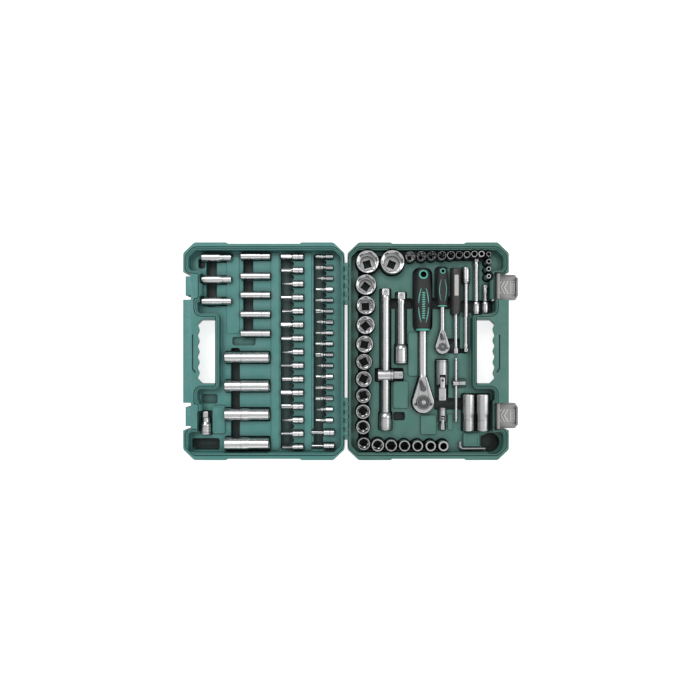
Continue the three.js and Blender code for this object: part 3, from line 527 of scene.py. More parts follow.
def moulded(name, color, rubbed_color, roughness, grain_scale=900.0, bump=0.25, dust=0.25, corners=0.8,
            depths=0.0):
    """A moulded plastic or rubber with grain, paler rubbed edges, a little dust and painted shade in its
    corners.
    """
    material, tree, shader = start_material(name, color, roughness)
    grain = place_group(tree, GRAIN, Scale=grain_scale, Spread=0.18)
    worn = place_group(tree, RUBBED, Start=0.515, End=0.6, Breakup=0.9)
    dusty = place_group(tree, DUST, Scale=45.0, Amount=dust)
    body = mixed_color(tree, color, rubbed_color, worn.outputs[0])
    veil = tuple(0.75 * c + 0.12 for c in color)
    final = node(tree, "ShaderNodeMix", [(0, dusty.outputs[0]), (6, body.outputs[2])], data_type="RGBA")
    final.inputs[7].default_value = (*veil, 1.0)
    # Painted shade: the colour goes towards near black in corners and, by depths, down in the tray's
    # pockets.
    shaded(tree, shader, final, tuple(0.06 * c for c in color), corners, depths)
    tree.links.new(plus(tree, roughness, grain.outputs["Roughness"]), shader.inputs["Roughness"])
    add_bump(tree, shader, grain.outputs["Height"], bump, 0.0002)
    return material


def metal(name, color, roughness, worn_color=None, lines=700.0, bump=0.0008, corners=0.85):
    """Plated or forged steel with polishing lines, edges rubbed brighter and painted shade in its corners.
    """
    material, tree, shader = start_material(name, color, roughness, 1.0)
    polish = place_group(tree, POLISH, Across=lines, Spread=0.02)
    worn = place_group(tree, RUBBED, Start=0.56, End=0.7, Breakup=0.15)
    dusty = place_group(tree, DUST, Scale=120.0, Amount=0.12)
    body = mixed_color(tree, color, worn_color or tuple(min(1.0, c * 1.2) for c in color), worn.outputs[0])
    final = node(tree, "ShaderNodeMix", [(0, dusty.outputs[0]), (6, body.outputs[2])], data_type="RGBA")
    final.inputs[7].default_value = (*(c * 0.7 for c in color), 1.0)
    # Painted shade: the colour goes towards near black in corners and round the feet of each piece.
    shaded(tree, shader, final, tuple(0.05 * c for c in color), corners, 0.0)
    tree.links.new(plus(tree, roughness, polish.outputs["Roughness"]), shader.inputs["Roughness"])
    add_bump(tree, shader, polish.outputs["Height"], bump, 0.0001)
    return material


def smoked(name):
    """A smoked translucent plastic: pale and glossy, with painted shade that darkens its corners."""
    material, tree, shader = start_material(name, (0.36, 0.36, 0.355), 0.16)
    grain = place_group(tree, GRAIN, Scale=500.0, Spread=0.12)
    shade_mask = place_group(tree, PAINTED_SHADE, Corners=1.3, Depths=0.0)
    # Painted shade: near black in the corners, pale grey elsewhere.
    mix = mixed_color(tree, (0.46, 0.46, 0.455), (0.02, 0.02, 0.02), shade_mask.outputs[0])
    tree.links.new(mix.outputs[2], shader.inputs["Base Color"])
    shader.inputs["Transmission Weight"].default_value = 0.35
    shader.inputs["IOR"].default_value = 1.5
    tree.links.new(plus(tree, 0.16, grain.outputs["Roughness"]), shader.inputs["Roughness"])
    add_bump(tree, shader, grain.outputs["Height"], 0.1, 0.0002)
    return material


BASE_GREEN = moulded("base green", (0.050, 0.158, 0.129), (0.10, 0.26, 0.22), 0.55, corners=1.1)
LID_GREEN = moulded("lid green", (0.054, 0.205, 0.188), (0.11, 0.31, 0.29), 0.55, corners=1.1)
# The same greens again, with painted shade that darkens the tray's faces towards the bottom of the pockets.
BASE_DEPTH_SHADE = moulded("base tray green", (0.050, 0.158, 0.129), (0.10, 0.26, 0.22), 0.55, corners=1.1,
                    depths=0.85)
LID_DEPTH_SHADE = moulded("lid tray green", (0.054, 0.205, 0.188), (0.11, 0.31, 0.29), 0.55, corners=1.1,
                   depths=0.8)
CHROME = metal("satin chrome", (0.57, 0.573, 0.578), 0.27, lines=2600.0)
SATIN = metal("satin steel", (0.50, 0.505, 0.51), 0.34, lines=2200.0)
CAP_STEEL = metal("grey cap steel", (0.24, 0.243, 0.248), 0.42, lines=1800.0)
DARK_STEEL = metal("dark steel", (0.13, 0.135, 0.14), 0.38)
GRIP_BLACK = moulded("grip rubber", (0.012, 0.013, 0.014), (0.05, 0.05, 0.05), 0.6, 1400.0, 0.4, 0.06)
GRIP_GREEN = moulded("grip green", (0.07, 0.36, 0.28), (0.16, 0.5, 0.42), 0.48, 1200.0, 0.3, 0.05)
SPINNER_BLACK = moulded("spinner grip", (0.035, 0.034, 0.032), (0.1, 0.1, 0.1), 0.5, 1100.0, 0.3, 0.05)
LABEL_GREY = moulded("plain label panel", (0.42, 0.42, 0.41), (0.6, 0.6, 0.6), 0.4, 900.0, 0.1, 0.05)
SMOKED = smoked("smoked plastic")
# A paler copy of the smoked plastic for the raised chevrons, ribs and panel frame: a painted highlight on
# the ridges.
SMOKED_HIGHLIGHT = moulded("pale smoked ridge", (0.60, 0.60, 0.59), (0.8, 0.8, 0.79), 0.22, 900.0, 0.1, 0.0)
print("materials:", len(bpy.data.materials))

# %% [markdown]
# ## The two halves of the case
# Each half is one blown shell. It starts as its outer block with a round back edge, and everything else is
# cut from it with lofted cutters: the tray's recess, the handle opening with its finger waves, the latch
# cut-outs and then one pocket per tool. Cutting, rather than modelling each wall, lets pockets run into
# each other as they do in a mould.

# %% Outlines of a half
HINGE_EDGE = 2.6
CORNER = (19.6, 18.7)
END_STEP, STEP_RUN = 2.3, 76.0


def case_outline():
    near, far = HINGE_EDGE + STEP_RUN, FRONT - STEP_RUN
    quarter = [
        (HINGE_EDGE, SIDE - CORNER[1]), (HINGE_EDGE + CORNER[0], SIDE), (near, SIDE),
        (near + END_STEP, SIDE - END_STEP), (far - END_STEP, SIDE - END_STEP), (far, SIDE),
        (FRONT - CORNER[0], SIDE), (FRONT, SIDE - CORNER[1]),
    ]
    return quarter + [(x, -y) for x, y in quarter[::-1]]


LATCH_Y, LATCH_WIDTH = 114.5, 46.0
NOTCH = LATCH_WIDTH / 2 + 1
GRIP_INNER, GRIP_OUTER, GRIP_HALF, GRIP_FLARE = FRONT - 56, FRONT - 26, 57.25, 12.0


def tray_outline():
    x0, x1, y = HINGE_EDGE + 6.4, FRONT - 8.6, SIDE - 13
    latch, between, handle = FRONT - 31.6, FRONT - 24, FRONT - 62
    zone = NOTCH + 3
    upper = [
        (x0, y - 12), (x0 + 12, y), (x1 - 12, y), (x1, y - 12), (x1, LATCH_Y + zone),
        (latch, LATCH_Y + zone),
        (latch, LATCH_Y - zone), (between, LATCH_Y - zone), (between, 66), (handle, 66),
    ]
    return upper + [(x, -y) for x, y in upper[::-1]]


def grip_outline(z):
    """The handle opening at a height: straight inside, finger waves outside, wider towards the back."""
    cut, steps = 9, 40
    outer = GRIP_OUTER + GRIP_FLARE * (1 - z / RIM)
    wave = []
    for i in range(steps + 1):
        t = i / steps
        wave.append((outer + 1.6 * (math.cos(10 * math.pi * t) - 1), (2 * t - 1) * (GRIP_HALF - cut)))
    return [(GRIP_INNER, GRIP_HALF), (GRIP_INNER, -GRIP_HALF), (outer - cut, -GRIP_HALF), *wave,
            (outer - cut, GRIP_HALF)]


def sided(points, side):
    return [(side * p[0], p[1]) for p in points]


def grip_cut(side, lip=1.5):
    """The handle opening's cutter, with both its edges rolled."""
    heights = [(-5, lip)] + [(lip - s, lip - c) for c, s in curve_of(lip)[::-1]]
    heights += [(RIM - lip + s, lip - c) for c, s in curve_of(lip)] + [(PARTING + 12, lip)]
    verts, faces = loft([at_height(rounded(sided(grip_outline(z), side), 3.5, grow), z) for z,
                         grow in heights])
    return new_object("cutter", verts, faces)


def through_cut(points, radius, lip=1.5):
    """A cutter that goes right through a half, with both its edges rolled."""
    rings = [at_height(rounded(points, radius, lip), -5)]
    rings += [at_height(rounded(points, radius, lip - c), lip - s) for c, s in curve_of(lip)[::-1]]
    rings += [at_height(rounded(points, radius, lip - c), RIM - lip + s) for c, s in curve_of(lip)]
    rings.append(at_height(rounded(points, radius, lip), PARTING + 12))
    verts, faces = loft(rings)
    return new_object("cutter", verts, faces)


print("outline points: case", len(case_outline()), "tray", len(tray_outline()), "handle",
      len(grip_outline(0)))

# %% The outer block of a half
def outer_block(side, name, material):
    """A half before its pockets: round back edge, a seam line below the rim and a softened rim."""
    outline = sided(case_outline(), side)
    back, rim = 5.0, 1.0
    rings = [at_height(rounded(outline, 7, c - back), back - s) for c, s in curve_of(back, 5)[::-1]]
    seam = RIM - 6
    for depth, z in ((0, seam - 0.6), (-0.7, seam), (-0.7, seam + 0.5), (0, seam + 1.1)):
        rings.append(at_height(rounded(outline, 7, depth), z))
    rings += [at_height(rounded(outline, 7, c - rim), RIM - rim + s) for c, s in curve_of(rim)]
    verts, faces = loft(rings)
    return new_object(name, verts, faces, material)


def rectangle(x0, x1, y0, y1):
    return [(x0, y0), (x1, y0), (x1, y1), (x0, y1)]


OUTSIDE = 9            # how far a cutter reaches past the front of the case
LATCH_RECESS = 25.6    # front edge to the back of the base's latch recess
LATCH_SLOT = 13.6      # front edge to the back of the slots beside the lid's tongue
TONGUE_BACK = 4.4      # front edge to the face of the lid's tongue
TONGUE_HALF = 17.4
SLOT_LAP = 0.6         # how far the slots beside the tongue run under its edge
HOOK_CEILING = 17.8


def common_cuts(side):
    """What both halves share: tray, rim groove, handle opening, its J-shaped line and the back panel."""
    tray = sided(tray_outline(), side)
    cuts = [pocket(tray, 8, TRAY, top=RIM, lip=1.2, foot=2.2)]
    cuts.append(pocket(tray, 8, RIM - 2.6, top=RIM, lip=0.7, foot=0.5, grown=2.4))
    ring = [(4.0, RIM + 4), (4.0, RIM - 2.4), (5.0, RIM - 2.4), (5.6, RIM), (5.6, RIM + 4)]
    verts, faces = loft([at_height(rounded(tray, 8, grow), z) for grow, z in ring[::-1]], "loop")
    cuts.append(new_object("groove cutter", verts, faces))
    cuts.append(grip_cut(side))
    hook = [(FRONT - 15.6, 29), (FRONT - 15.6, -31), (FRONT - 20.4, -38), (FRONT - 22.6, -36.4),
            (FRONT - 18, -30),
            (FRONT - 18, 29)]
    cuts.append(pocket(sided(hook, side), 0.8, RIM - 2.6, top=RIM, lip=0.5, foot=0.4))
    panel = sided(rectangle(62, 205, -150, 150), side)
    rings = [at_height(rounded(panel, 12, 0.8), -1), at_height(rounded(panel, 12, 0.8), 0)]
    rings += [at_height(rounded(panel, 12, 0), 0.8), at_height(rounded(panel, 12, -0.8), 1.6)]
    verts, faces = loft(rings)
    cuts.append(new_object("cutter", verts, faces))
    return cuts


def line_tray(half, side, material):
    """Gives the faces inside the tray the material whose painted shade darkens with depth, and leaves the
    outside.
    """
    half.data.materials.append(material)
    start = np.array([(p[0], p[1]) for p in rounded(sided(tray_outline(), side), 8, 3.4)])
    end = np.roll(start, -1, axis=0)
    rise = np.where(end[:, 1] == start[:, 1], 1.0, end[:, 1] - start[:, 1])
    centres = np.empty(len(half.data.polygons) * 3)
    half.data.polygons.foreach_get("center", centres)
    x, y, z = (column[:, None] for column in centres.reshape(-1, 3).T)
    reach = start[:, 0] + (y - start[:, 1]) * (end[:, 0] - start[:, 0]) / rise
    crossed = ((start[:, 1] > y) != (end[:, 1] > y)) & (x < reach)
    lined = (crossed.sum(axis=1) % 2 == 1) & (z[:, 0] > 3) & (z[:, 0] < RIM - 0.1)
    half.data.polygons.foreach_set("material_index",
                                   lined.astype(np.int32) * (len(half.data.materials) - 1))
    print(half.name, "tray faces:", int(lined.sum()), "of", len(lined))


print("block and cut helpers ready")

# %% [markdown]
# The tools that the frame holds say where their pockets go. A standing socket gets a round pocket, and a
# lying tool a long one as wide as itself. Finger room is cut deeper across the middle of the tools, so that
# a finger can get under them, which is why the real tray looks almost black there.

# %% Pockets round the frame's tools
ROOM = 1.3
STANDING = sorted(n for n in frame["nodes"] if n.startswith("socket_half_"))


def standing_pockets():
    cuts = []
    for name in STANDING:
        low, high = mm_box(name)
        radius = (high.x - low.x) / 2
        cuts.append(round_pocket((low.x + high.x) / 2, (low.y + high.y) / 2, radius + ROOM, low.z - 0.3))
    return cuts


def lying_pocket(name, floor_gap=0.3, radius=2.0, **more):
    low, high = mm_box(name)
    return slot_pocket(low.x - ROOM, high.x + ROOM, low.y - ROOM, high.y + ROOM, low.z - floor_gap, radius,
                       **more)


def stepped_pocket(name, widths):
    """Pockets along a lying tool whose width changes: (y from, y to, half width) for each stretch."""
    low, high = mm_box(name)
    x, axis = (low.x + high.x) / 2, (low.z + high.z) / 2
    return [slot_pocket(x - w - ROOM, x + w + ROOM, y0, y1, axis - w - 0.3, 2.0) for y0, y1, w in widths]


print("standing sockets in the frame:", len(STANDING))

# %% The base half
# Small standing sockets: size, x, y and radius. The last four step out to a wider foot.
SMALL_SOCKETS = [
    (14, 112.7, 166.4, 9.0), (13, 132.5, 167.2, 8.5), (12, 150.5, 167.9, 8.0), (11, 168.4, 168.0, 7.7),
    (10, 184.3, 168.6, 7.3), (9, 198.8, 169.4, 6.6), (8, 212.3, 169.8, 6.3), (7, 225.2, 170.8, 5.9),
    (6, 237.7, 170.8, 5.8), (5.5, 250.4, 170.4, 5.9), (5, 250.4, 157.6, 5.9), (4.5, 250.4, 144.4, 5.9),
    (4, 250.4, 131.5, 5.9),
]
SMALL_FLOOR = 19.4
BASE_FINGER_ROOM = [
    (77, 119, 76, 95, 12), (151, 190, 76, 96, 14), (205, 262, 69, 91, 16), (157, 209, -104, -83, 13),
    (84, 105, -123, -108, 15), (181, 216, -3, 23, 14),
]
BASE_BLOCKS = [
    (84, 110.5, -101, -53, 29), (133, 160.5, -148, -113.5, 29), (208.5, 237, -169, -145.5, 30.5),
    (110.5, 127.5, -44, 34, 28.4), (181, 190, -140, -112, 28.2), (203, 222, 5, 62, 27.8),
    (176, 186, 98, 148, 27.6),
]


def base_cuts():
    cuts = common_cuts(1) + standing_pockets()
    for y in (LATCH_Y, -LATCH_Y):
        recess = rectangle(FRONT - LATCH_RECESS, FRONT + OUTSIDE, y - NOTCH, y + NOTCH)
        cuts.append(through_cut(recess, 1.5, 0.8))
    cuts += [slot_pocket(22, 40, -172, 172, 7), slot_pocket(26, 176, -175, -160, 7.2),
             slot_pocket(40, 96, 148, 170, 7.4)]
    cuts += stepped_pocket("bar_half_250", [(-140.6, -107, 11), (-112, 112, 9.1)])
    cuts += stepped_pocket("bar_half_125", [(-22.6, 14, 10.6), (8, 106, 9.1)])
    cuts += stepped_pocket("bar_quarter_150", [(120, 150, 6.3), (-2, 124, 4.7)])
    cuts += stepped_pocket("bar_quarter_100", [(64.6, 90, 5.9), (86, 166, 4.7)])
    cuts += stepped_pocket("bar_quarter_50", [(67, 90, 5.9), (86, 119.4, 4.7)])
    for name in ("plug_socket_16", "plug_socket_21", "tee_rod_quarter", "universal_half_socket",
                 "universal_half_drive", "universal_quarter_socket", "universal_quarter_drive",
                 "tee_slider_quarter"):
        cuts.append(lying_pocket(name))
    for label, swing in (("half", 5.5), ("quarter", 3.2)):
        low, high = mm_box(f"universal_{label}_drive")
        body_low, _ = mm_box(f"universal_{label}_socket")
        middle = (low.x + high.x) / 2
        half = (high.x - low.x) / 2 + swing
        cuts.append(slot_pocket(middle - half, middle + half, low.y - ROOM, high.y - 14, body_low.z - 0.3))
    low, high = mm_box("tee_head_half")
    cuts.append(slot_pocket(51.5, high.x + ROOM, low.y - 1.2, high.y + 1.2, 11.8))
    low, high = mm_box("tee_slider_quarter")
    cuts.append(slot_pocket(low.x - ROOM, high.x + ROOM, low.y - 3.6, high.y + 3.6, low.z - 0.3))
    cuts.append(slot_pocket(186, 203.6, 65.2, 148.6, 21))
    cuts.append(slot_pocket(189, 200.4, -4.8, 70, 25.2))
    for label, grip_width in (("half", 16), ("quarter", 11.2)):
        cuts += ratchet_pockets(label, grip_width)
    low, high = mm_box("hex_key")
    cuts.append(slot_pocket(low.x - 1.4, high.x + 1.4, -177.2, -170, low.z - 0.5, 1.5))
    cuts.append(slot_pocket(low.x - 1.4, low.x + 5.4, -177.2, high.y + 1.4, low.z - 0.5, 1.5))
    for _, x, y, radius in SMALL_SOCKETS:
        cuts.append(round_pocket(x, y, radius + 1.3, SMALL_FLOOR - 0.3))
    cuts += [slot_pocket(108, 252, 162, 174.5, SMALL_FLOOR),
             slot_pocket(245.5, 255.5, 127, 172, SMALL_FLOOR)]
    cuts += [slot_pocket(x0, x1, y0, y1, floor, 4) for x0, x1, y0, y1, floor in BASE_FINGER_ROOM]
    cuts += [round_pocket(257.5, -162.5, 17.5, 6), slot_pocket(240, 262, -172, -149, 14, 5)]
    return cuts


def ratchet_pockets(label, grip_width):
    head_low, head_high = mm_box(f"ratchet_{label}_body")
    drive_low, drive_high = mm_box(f"ratchet_{label}_drive")
    grip_low, grip_high = mm_box(f"ratchet_{label}_grip")
    x = (head_low.x + head_high.x) / 2
    y = (drive_low.y + drive_high.y) / 2
    radius = y - head_low.y
    outline = head_outline(x, y, radius + ROOM, 0.34 * radius + ROOM, y + radius * 2.3 + ROOM)
    shank = 0.34 * radius + ROOM
    square = (6.2 if label == "half" else 3.1) * math.sqrt(2)
    return [
        pocket(outline, 0.2, head_low.z - 0.3),
        round_pocket(x, y, square + ROOM, drive_low.z - 0.3),
        slot_pocket(x - shank, x + shank, y + radius, grip_low.y + 6, (grip_low.z + grip_high.z) / 2 - 4.6),
        slot_pocket(x - grip_width - ROOM, x + grip_width + ROOM, grip_low.y - ROOM, grip_high.y + ROOM,
                    grip_low.z - 0.3, grip_width * 0.7),
    ]


def head_outline(x, y, radius, shank, slope, steps=30):
    """A ratchet head from above: a round end that narrows to the shank."""
    past = math.pi / 7
    ring = [
        (x + radius * math.cos(a), y + radius * math.sin(a))
        for a in (math.pi - past + (math.pi + 2 * past) * i / steps for i in range(steps + 1))
    ]
    return ring + [(x + shank, slope), (x - shank, slope)]


def block(x0, x1, y0, y1, height, radius=3.0):
    return raised(x0, x1, y0, y1, height, radius)


base = outer_block(1, "case base", BASE_GREEN)
combine(base, base_cuts(), "DIFFERENCE")
combine(base, [block(*sizes) for sizes in BASE_BLOCKS], "UNION")
combine(base, [slot_pocket(211, 234, -166.5, -148, 29.6, 1.5, top=30.5)], "DIFFERENCE")
line_tray(base, 1, BASE_DEPTH_SHADE)
finish_mesh(base, "base", replaces=["case_base"])
print("case base:", len(base.data.polygons), "faces")

# %% [markdown]
# ## The lid half
# The lid is laid out in columns. Each column has a deep trench at one end of its tools, and pockets that
# run out of that trench, so that the lighter tongues between the pockets hold each tool while a finger
# lifts its free end.

# %% The lid half
# Rows of pockets: x from, x to, half width, floor and the places along Y.
LID_ROWS = [
    (-256.3, -202.7, 8.0, 22.0, [167.0, 127.7, 89.2]),
    (-187.4, -133.8, 6.8, 23.0, [169.1, 134.0, 100.4, 66.1, 31.8]),
    (-115.4, -75.5, 6.1, 24.0, [168.5 - 24.2 * i for i in range(15)]),
    (-54.0, -22.6, 4.6, 24.0, [168.6 - 19.4 * i for i in range(16)]),
    (-61.4, -20.4, 6.1, 24.0, [-144.2, -168.3]),
]
LID_ROOM = [
    (-250, -231, 80, 173, 12), (-184, -166, 24, 174, 12), (-117, -100, -175, 174, 14),
    (-58, -41, -174, 174, 14),
    (-206, -190, -172, 6, 12), (-276, -226, -176, -155, 10), (-264, -252, 148, 166, 14),
    (-258, -230, -93, -76, 20), (-203, -162, 11, 26, 21),
]
DEEP = sorted(n for n in frame["nodes"] if n.startswith("deep_socket_half_"))


def lid_cuts():
    cuts = common_cuts(-1)
    for y in (LATCH_Y, -LATCH_Y):
        slot_edge = TONGUE_HALF - SLOT_LAP
        for y0, y1 in ((y + slot_edge, y + NOTCH), (y - NOTCH, y - slot_edge)):
            cuts.append(through_cut(rectangle(-FRONT - OUTSIDE, -FRONT + LATCH_SLOT, y0, y1), 0.8, 0.6))
        tongue = (y - TONGUE_HALF, y + TONGUE_HALF)
        cuts.append(through_cut(rectangle(-FRONT - OUTSIDE, -FRONT + TONGUE_BACK, *tongue), 0.3, 0.5))
        pocket_for_hook = rectangle(-FRONT - OUTSIDE, -FRONT + LATCH_SLOT, *tongue)
        verts, faces = loft([at_height(rounded(pocket_for_hook, 0.8, 0), z) for z in (-5, HOOK_CEILING)])
        cuts.append(new_object("cutter", verts, faces))
    cuts += [lying_pocket(name) for name in DEEP]
    cuts.append(lying_pocket("drive_adapter"))
    for x0, x1, half, floor, places in LID_ROWS:
        cuts += [slot_pocket(x0, x1, y - half, y + half, floor - 1.5, 2.2) for y in places]
    cuts += [slot_pocket(x0, x1, y0, y1, floor, 4) for x0, x1, y0, y1, floor in LID_ROOM]
    for x, gap, (_, _, _, _, places) in ((-98.6, 5.4, LID_ROWS[2]), (-39.8, 4.5, LID_ROWS[3])):
        cuts += [round_pocket(x, (a + b) / 2, gap, 16) for a, b in zip(places, places[1:])]
    return cuts


lid = outer_block(-1, "case lid", LID_GREEN)
combine(lid, lid_cuts(), "DIFFERENCE")
combine(lid, [block(-238, -216, -146, -97, 29.5), block(-134, -119.4, -177, 177, 27.4),
              block(-74.8, -61.8, -177, 177, 27.4), block(-213, -190.5, 32, 170, 27.2)], "UNION")
combine(lid, [slot_pocket(-235.5, -218.5, -143.5, -99.5, 28.8, 1.5, top=29.5)], "DIFFERENCE")
line_tray(lid, -1, LID_DEPTH_SHADE)
finish_mesh(lid, "lid", replaces=["case_lid"])
print("case lid:", len(lid.data.polygons), "faces")

# %% [markdown]
# ## Rows of equal pieces
# Hinge knuckles, chevrons, ribs, bits and bit sockets all come in rows. One Geometry Nodes tree makes them
# all: a line of points, one piece placed on each, a small random turn about the row's own axis, real
# geometry and a material.

# %% A node tree for a row
def row_tree():
    tree = bpy.data.node_groups.new("row of pieces", "GeometryNodeTree")
    for label, kind in (("Piece", "Object"), ("Count", "Int"), ("First", "Vector"), ("Step", "Vector"),
                        ("Turn", "Vector"), ("Seed", "Int"), ("Material", "Material")):
        tree.interface.new_socket(label, in_out="INPUT", socket_type="NodeSocket" + kind)
    tree.interface.new_socket("Geometry", in_out="OUTPUT", socket_type="NodeSocketGeometry")
    inside, outside = tree.nodes.new("NodeGroupInput"), tree.nodes.new("NodeGroupOutput")
    line = node(tree, "GeometryNodeMeshLine", [
        ("Count", inside.outputs["Count"]), ("Start Location", inside.outputs["First"]),
        ("Offset", inside.outputs["Step"]),
    ], mode="OFFSET")
    piece = node(tree, "GeometryNodeObjectInfo", [("Object", inside.outputs["Piece"])])
    least = node(tree, "ShaderNodeVectorMath", [(0, inside.outputs["Turn"])], operation="SCALE")
    least.inputs["Scale"].default_value = -1.0
    chance = node(tree, "FunctionNodeRandomValue", [
        (0, least.outputs[0]), (1, inside.outputs["Turn"]), ("Seed", inside.outputs["Seed"]),
    ], data_type="FLOAT_VECTOR")
    placed = node(tree, "GeometryNodeInstanceOnPoints", [
        ("Points", line.outputs[0]), ("Instance", piece.outputs["Geometry"]),
        ("Rotation", chance.outputs[0]),
    ])
    solid = node(tree, "GeometryNodeRealizeInstances", [("Geometry", placed.outputs[0])])
    coloured = node(tree, "GeometryNodeSetMaterial", [
        ("Geometry", solid.outputs[0]), ("Material", inside.outputs["Material"]),
    ])
    tree.links.new(coloured.outputs[0], outside.inputs[0])
    return tree


ROW = row_tree()


def row(name, piece, count, first, step, material, turn=(0, 0, 0), seed=7):
    """One mesh made of count copies of piece. The piece itself is used up."""
    obj = new_object(name, [(0, 0, 0)], [])
    modifier = obj.modifiers.new("row", "NODES")
    modifier.node_group = ROW
    values = {"Piece": piece, "Count": count, "First": first, "Step": step, "Turn": turn, "Seed": seed,
              "Material": material}
    for item in ROW.interface.items_tree:
        if item.in_out == "INPUT":
            modifier[item.identifier] = values[item.name]
    bake_modifiers(obj)
    mesh = piece.data
    bpy.data.objects.remove(piece)
    bpy.data.meshes.remove(mesh)
    return obj


def join(name, pieces):
    """Puts several loose meshes into one object. They keep their materials."""
    work = bmesh.new()
    materials = []
    for piece in pieces:
        first = len(work.faces)
        work.from_mesh(piece.data)
        work.faces.ensure_lookup_table()
        own = list(piece.data.materials)
        for material in own:
            if material not in materials:
                materials.append(material)
        for face in work.faces[first:]:
            face.material_index = materials.index(own[face.material_index]) if own else 0
    mesh = bpy.data.meshes.new(name)
    work.to_mesh(mesh)
    work.free()
    for material in materials:
        mesh.materials.append(material)
    for piece in pieces:
        old = piece.data
        bpy.data.objects.remove(piece)
        bpy.data.meshes.remove(old)
    obj = bpy.data.objects.new(name, mesh)
    bpy.context.scene.collection.objects.link(obj)
    return obj


print("row tree nodes:", len(ROW.nodes))

# %% [markdown]
# The hinge is moulded with the halves: barrels that take turns, one on the base and one on the lid, with a
# steel pin through each group. Each barrel hangs on a short web.

# %% Hinge knuckles and pins
KNUCKLE, PITCH, GROUP = 2.4, 7.4, 118.0


def knuckle(side, material):
    length = PITCH - 0.3
    barrel = lofted("knuckle", [
        circle(KNUCKLE - 0.4, 0, 24), circle(KNUCKLE, 0.4, 24), circle(KNUCKLE, length - 0.4, 24),
        circle(KNUCKLE - 0.4, length, 24),
    ], material, "+y")
    low, high = sorted((0.0, side * 4.2))
    section = [(low, -KNUCKLE + 0.1), (high, -KNUCKLE + 0.1), (high, -0.15), (low, -0.15)]
    verts = [(x, y, z) for y in (0.25, length - 0.25) for x, z in section]
    faces = [(0, 1, 2, 3), (7, 6, 5, 4)] + [(i, i + 4, (i + 1) % 4 + 4, (i + 1) % 4) for i in range(4)]
    return combine(barrel, [new_object("web", verts, faces, material)], "UNION")


for side, body, material in ((1, "base", BASE_GREEN), (-1, "lid", LID_GREEN)):
    start = 0 if side > 0 else 1
    groups = [
        row("knuckles", knuckle(side, material), 5, (0, centre + (start - 5) * PITCH + 0.15, PARTING),
            (0, 2 * PITCH, 0), material)
        for centre in (-GROUP, GROUP)
    ]
    finish_mesh(join(f"{body} knuckles", groups), body)
for name in ("hinge_pin_upper", "hinge_pin_lower", "latch_pin_upper", "latch_pin_lower"):
    low, high = mm_box(name)
    radius, length = (high.z - low.z) / 2, high.y - low.y
    rings = [circle(radius - 0.3, 0, 24), circle(radius, 0.3, 24), circle(radius, length - 0.3, 24),
             circle(radius - 0.3, length, 24)]
    pin = lofted(name.replace("_", " "), rings, SATIN, "+y",
                 ((low.x + high.x) / 2, low.y, (low.z + high.z) / 2))
    finish_mesh(pin, "base", replaces=[name])
print("hinge and latch pins done")

# %% [markdown]
# ## The latches
# Each latch is a smoked plate that swings on a pin. At its outer end a lip stands up and hooks over the
# lid's tongue. On its face are three chevrons that point towards the case, and a ribbed panel for a thumb.
# The chevrons and ribs are rows of one raised bar. The same chevrons are engraved in the outside of the
# plate, where they show when the case is shut.

# %% Latches
def chevron(half_width, arm, thick, tall):
    """A V that points along -X, as a closed bar with a soft top."""
    outer = [(0, 0), (arm, half_width), (arm + thick, half_width), (thick, 0), (arm + thick, -half_width),
             (arm, -half_width)]
    rings = [at_height(rounded(outer, 0.3, 0), -0.5), at_height(rounded(outer, 0.3, 0), tall - 0.25),
             at_height(rounded(outer, 0.3, -0.25), tall)]
    verts, faces = loft(rings)
    return new_object("chevron", verts, faces)


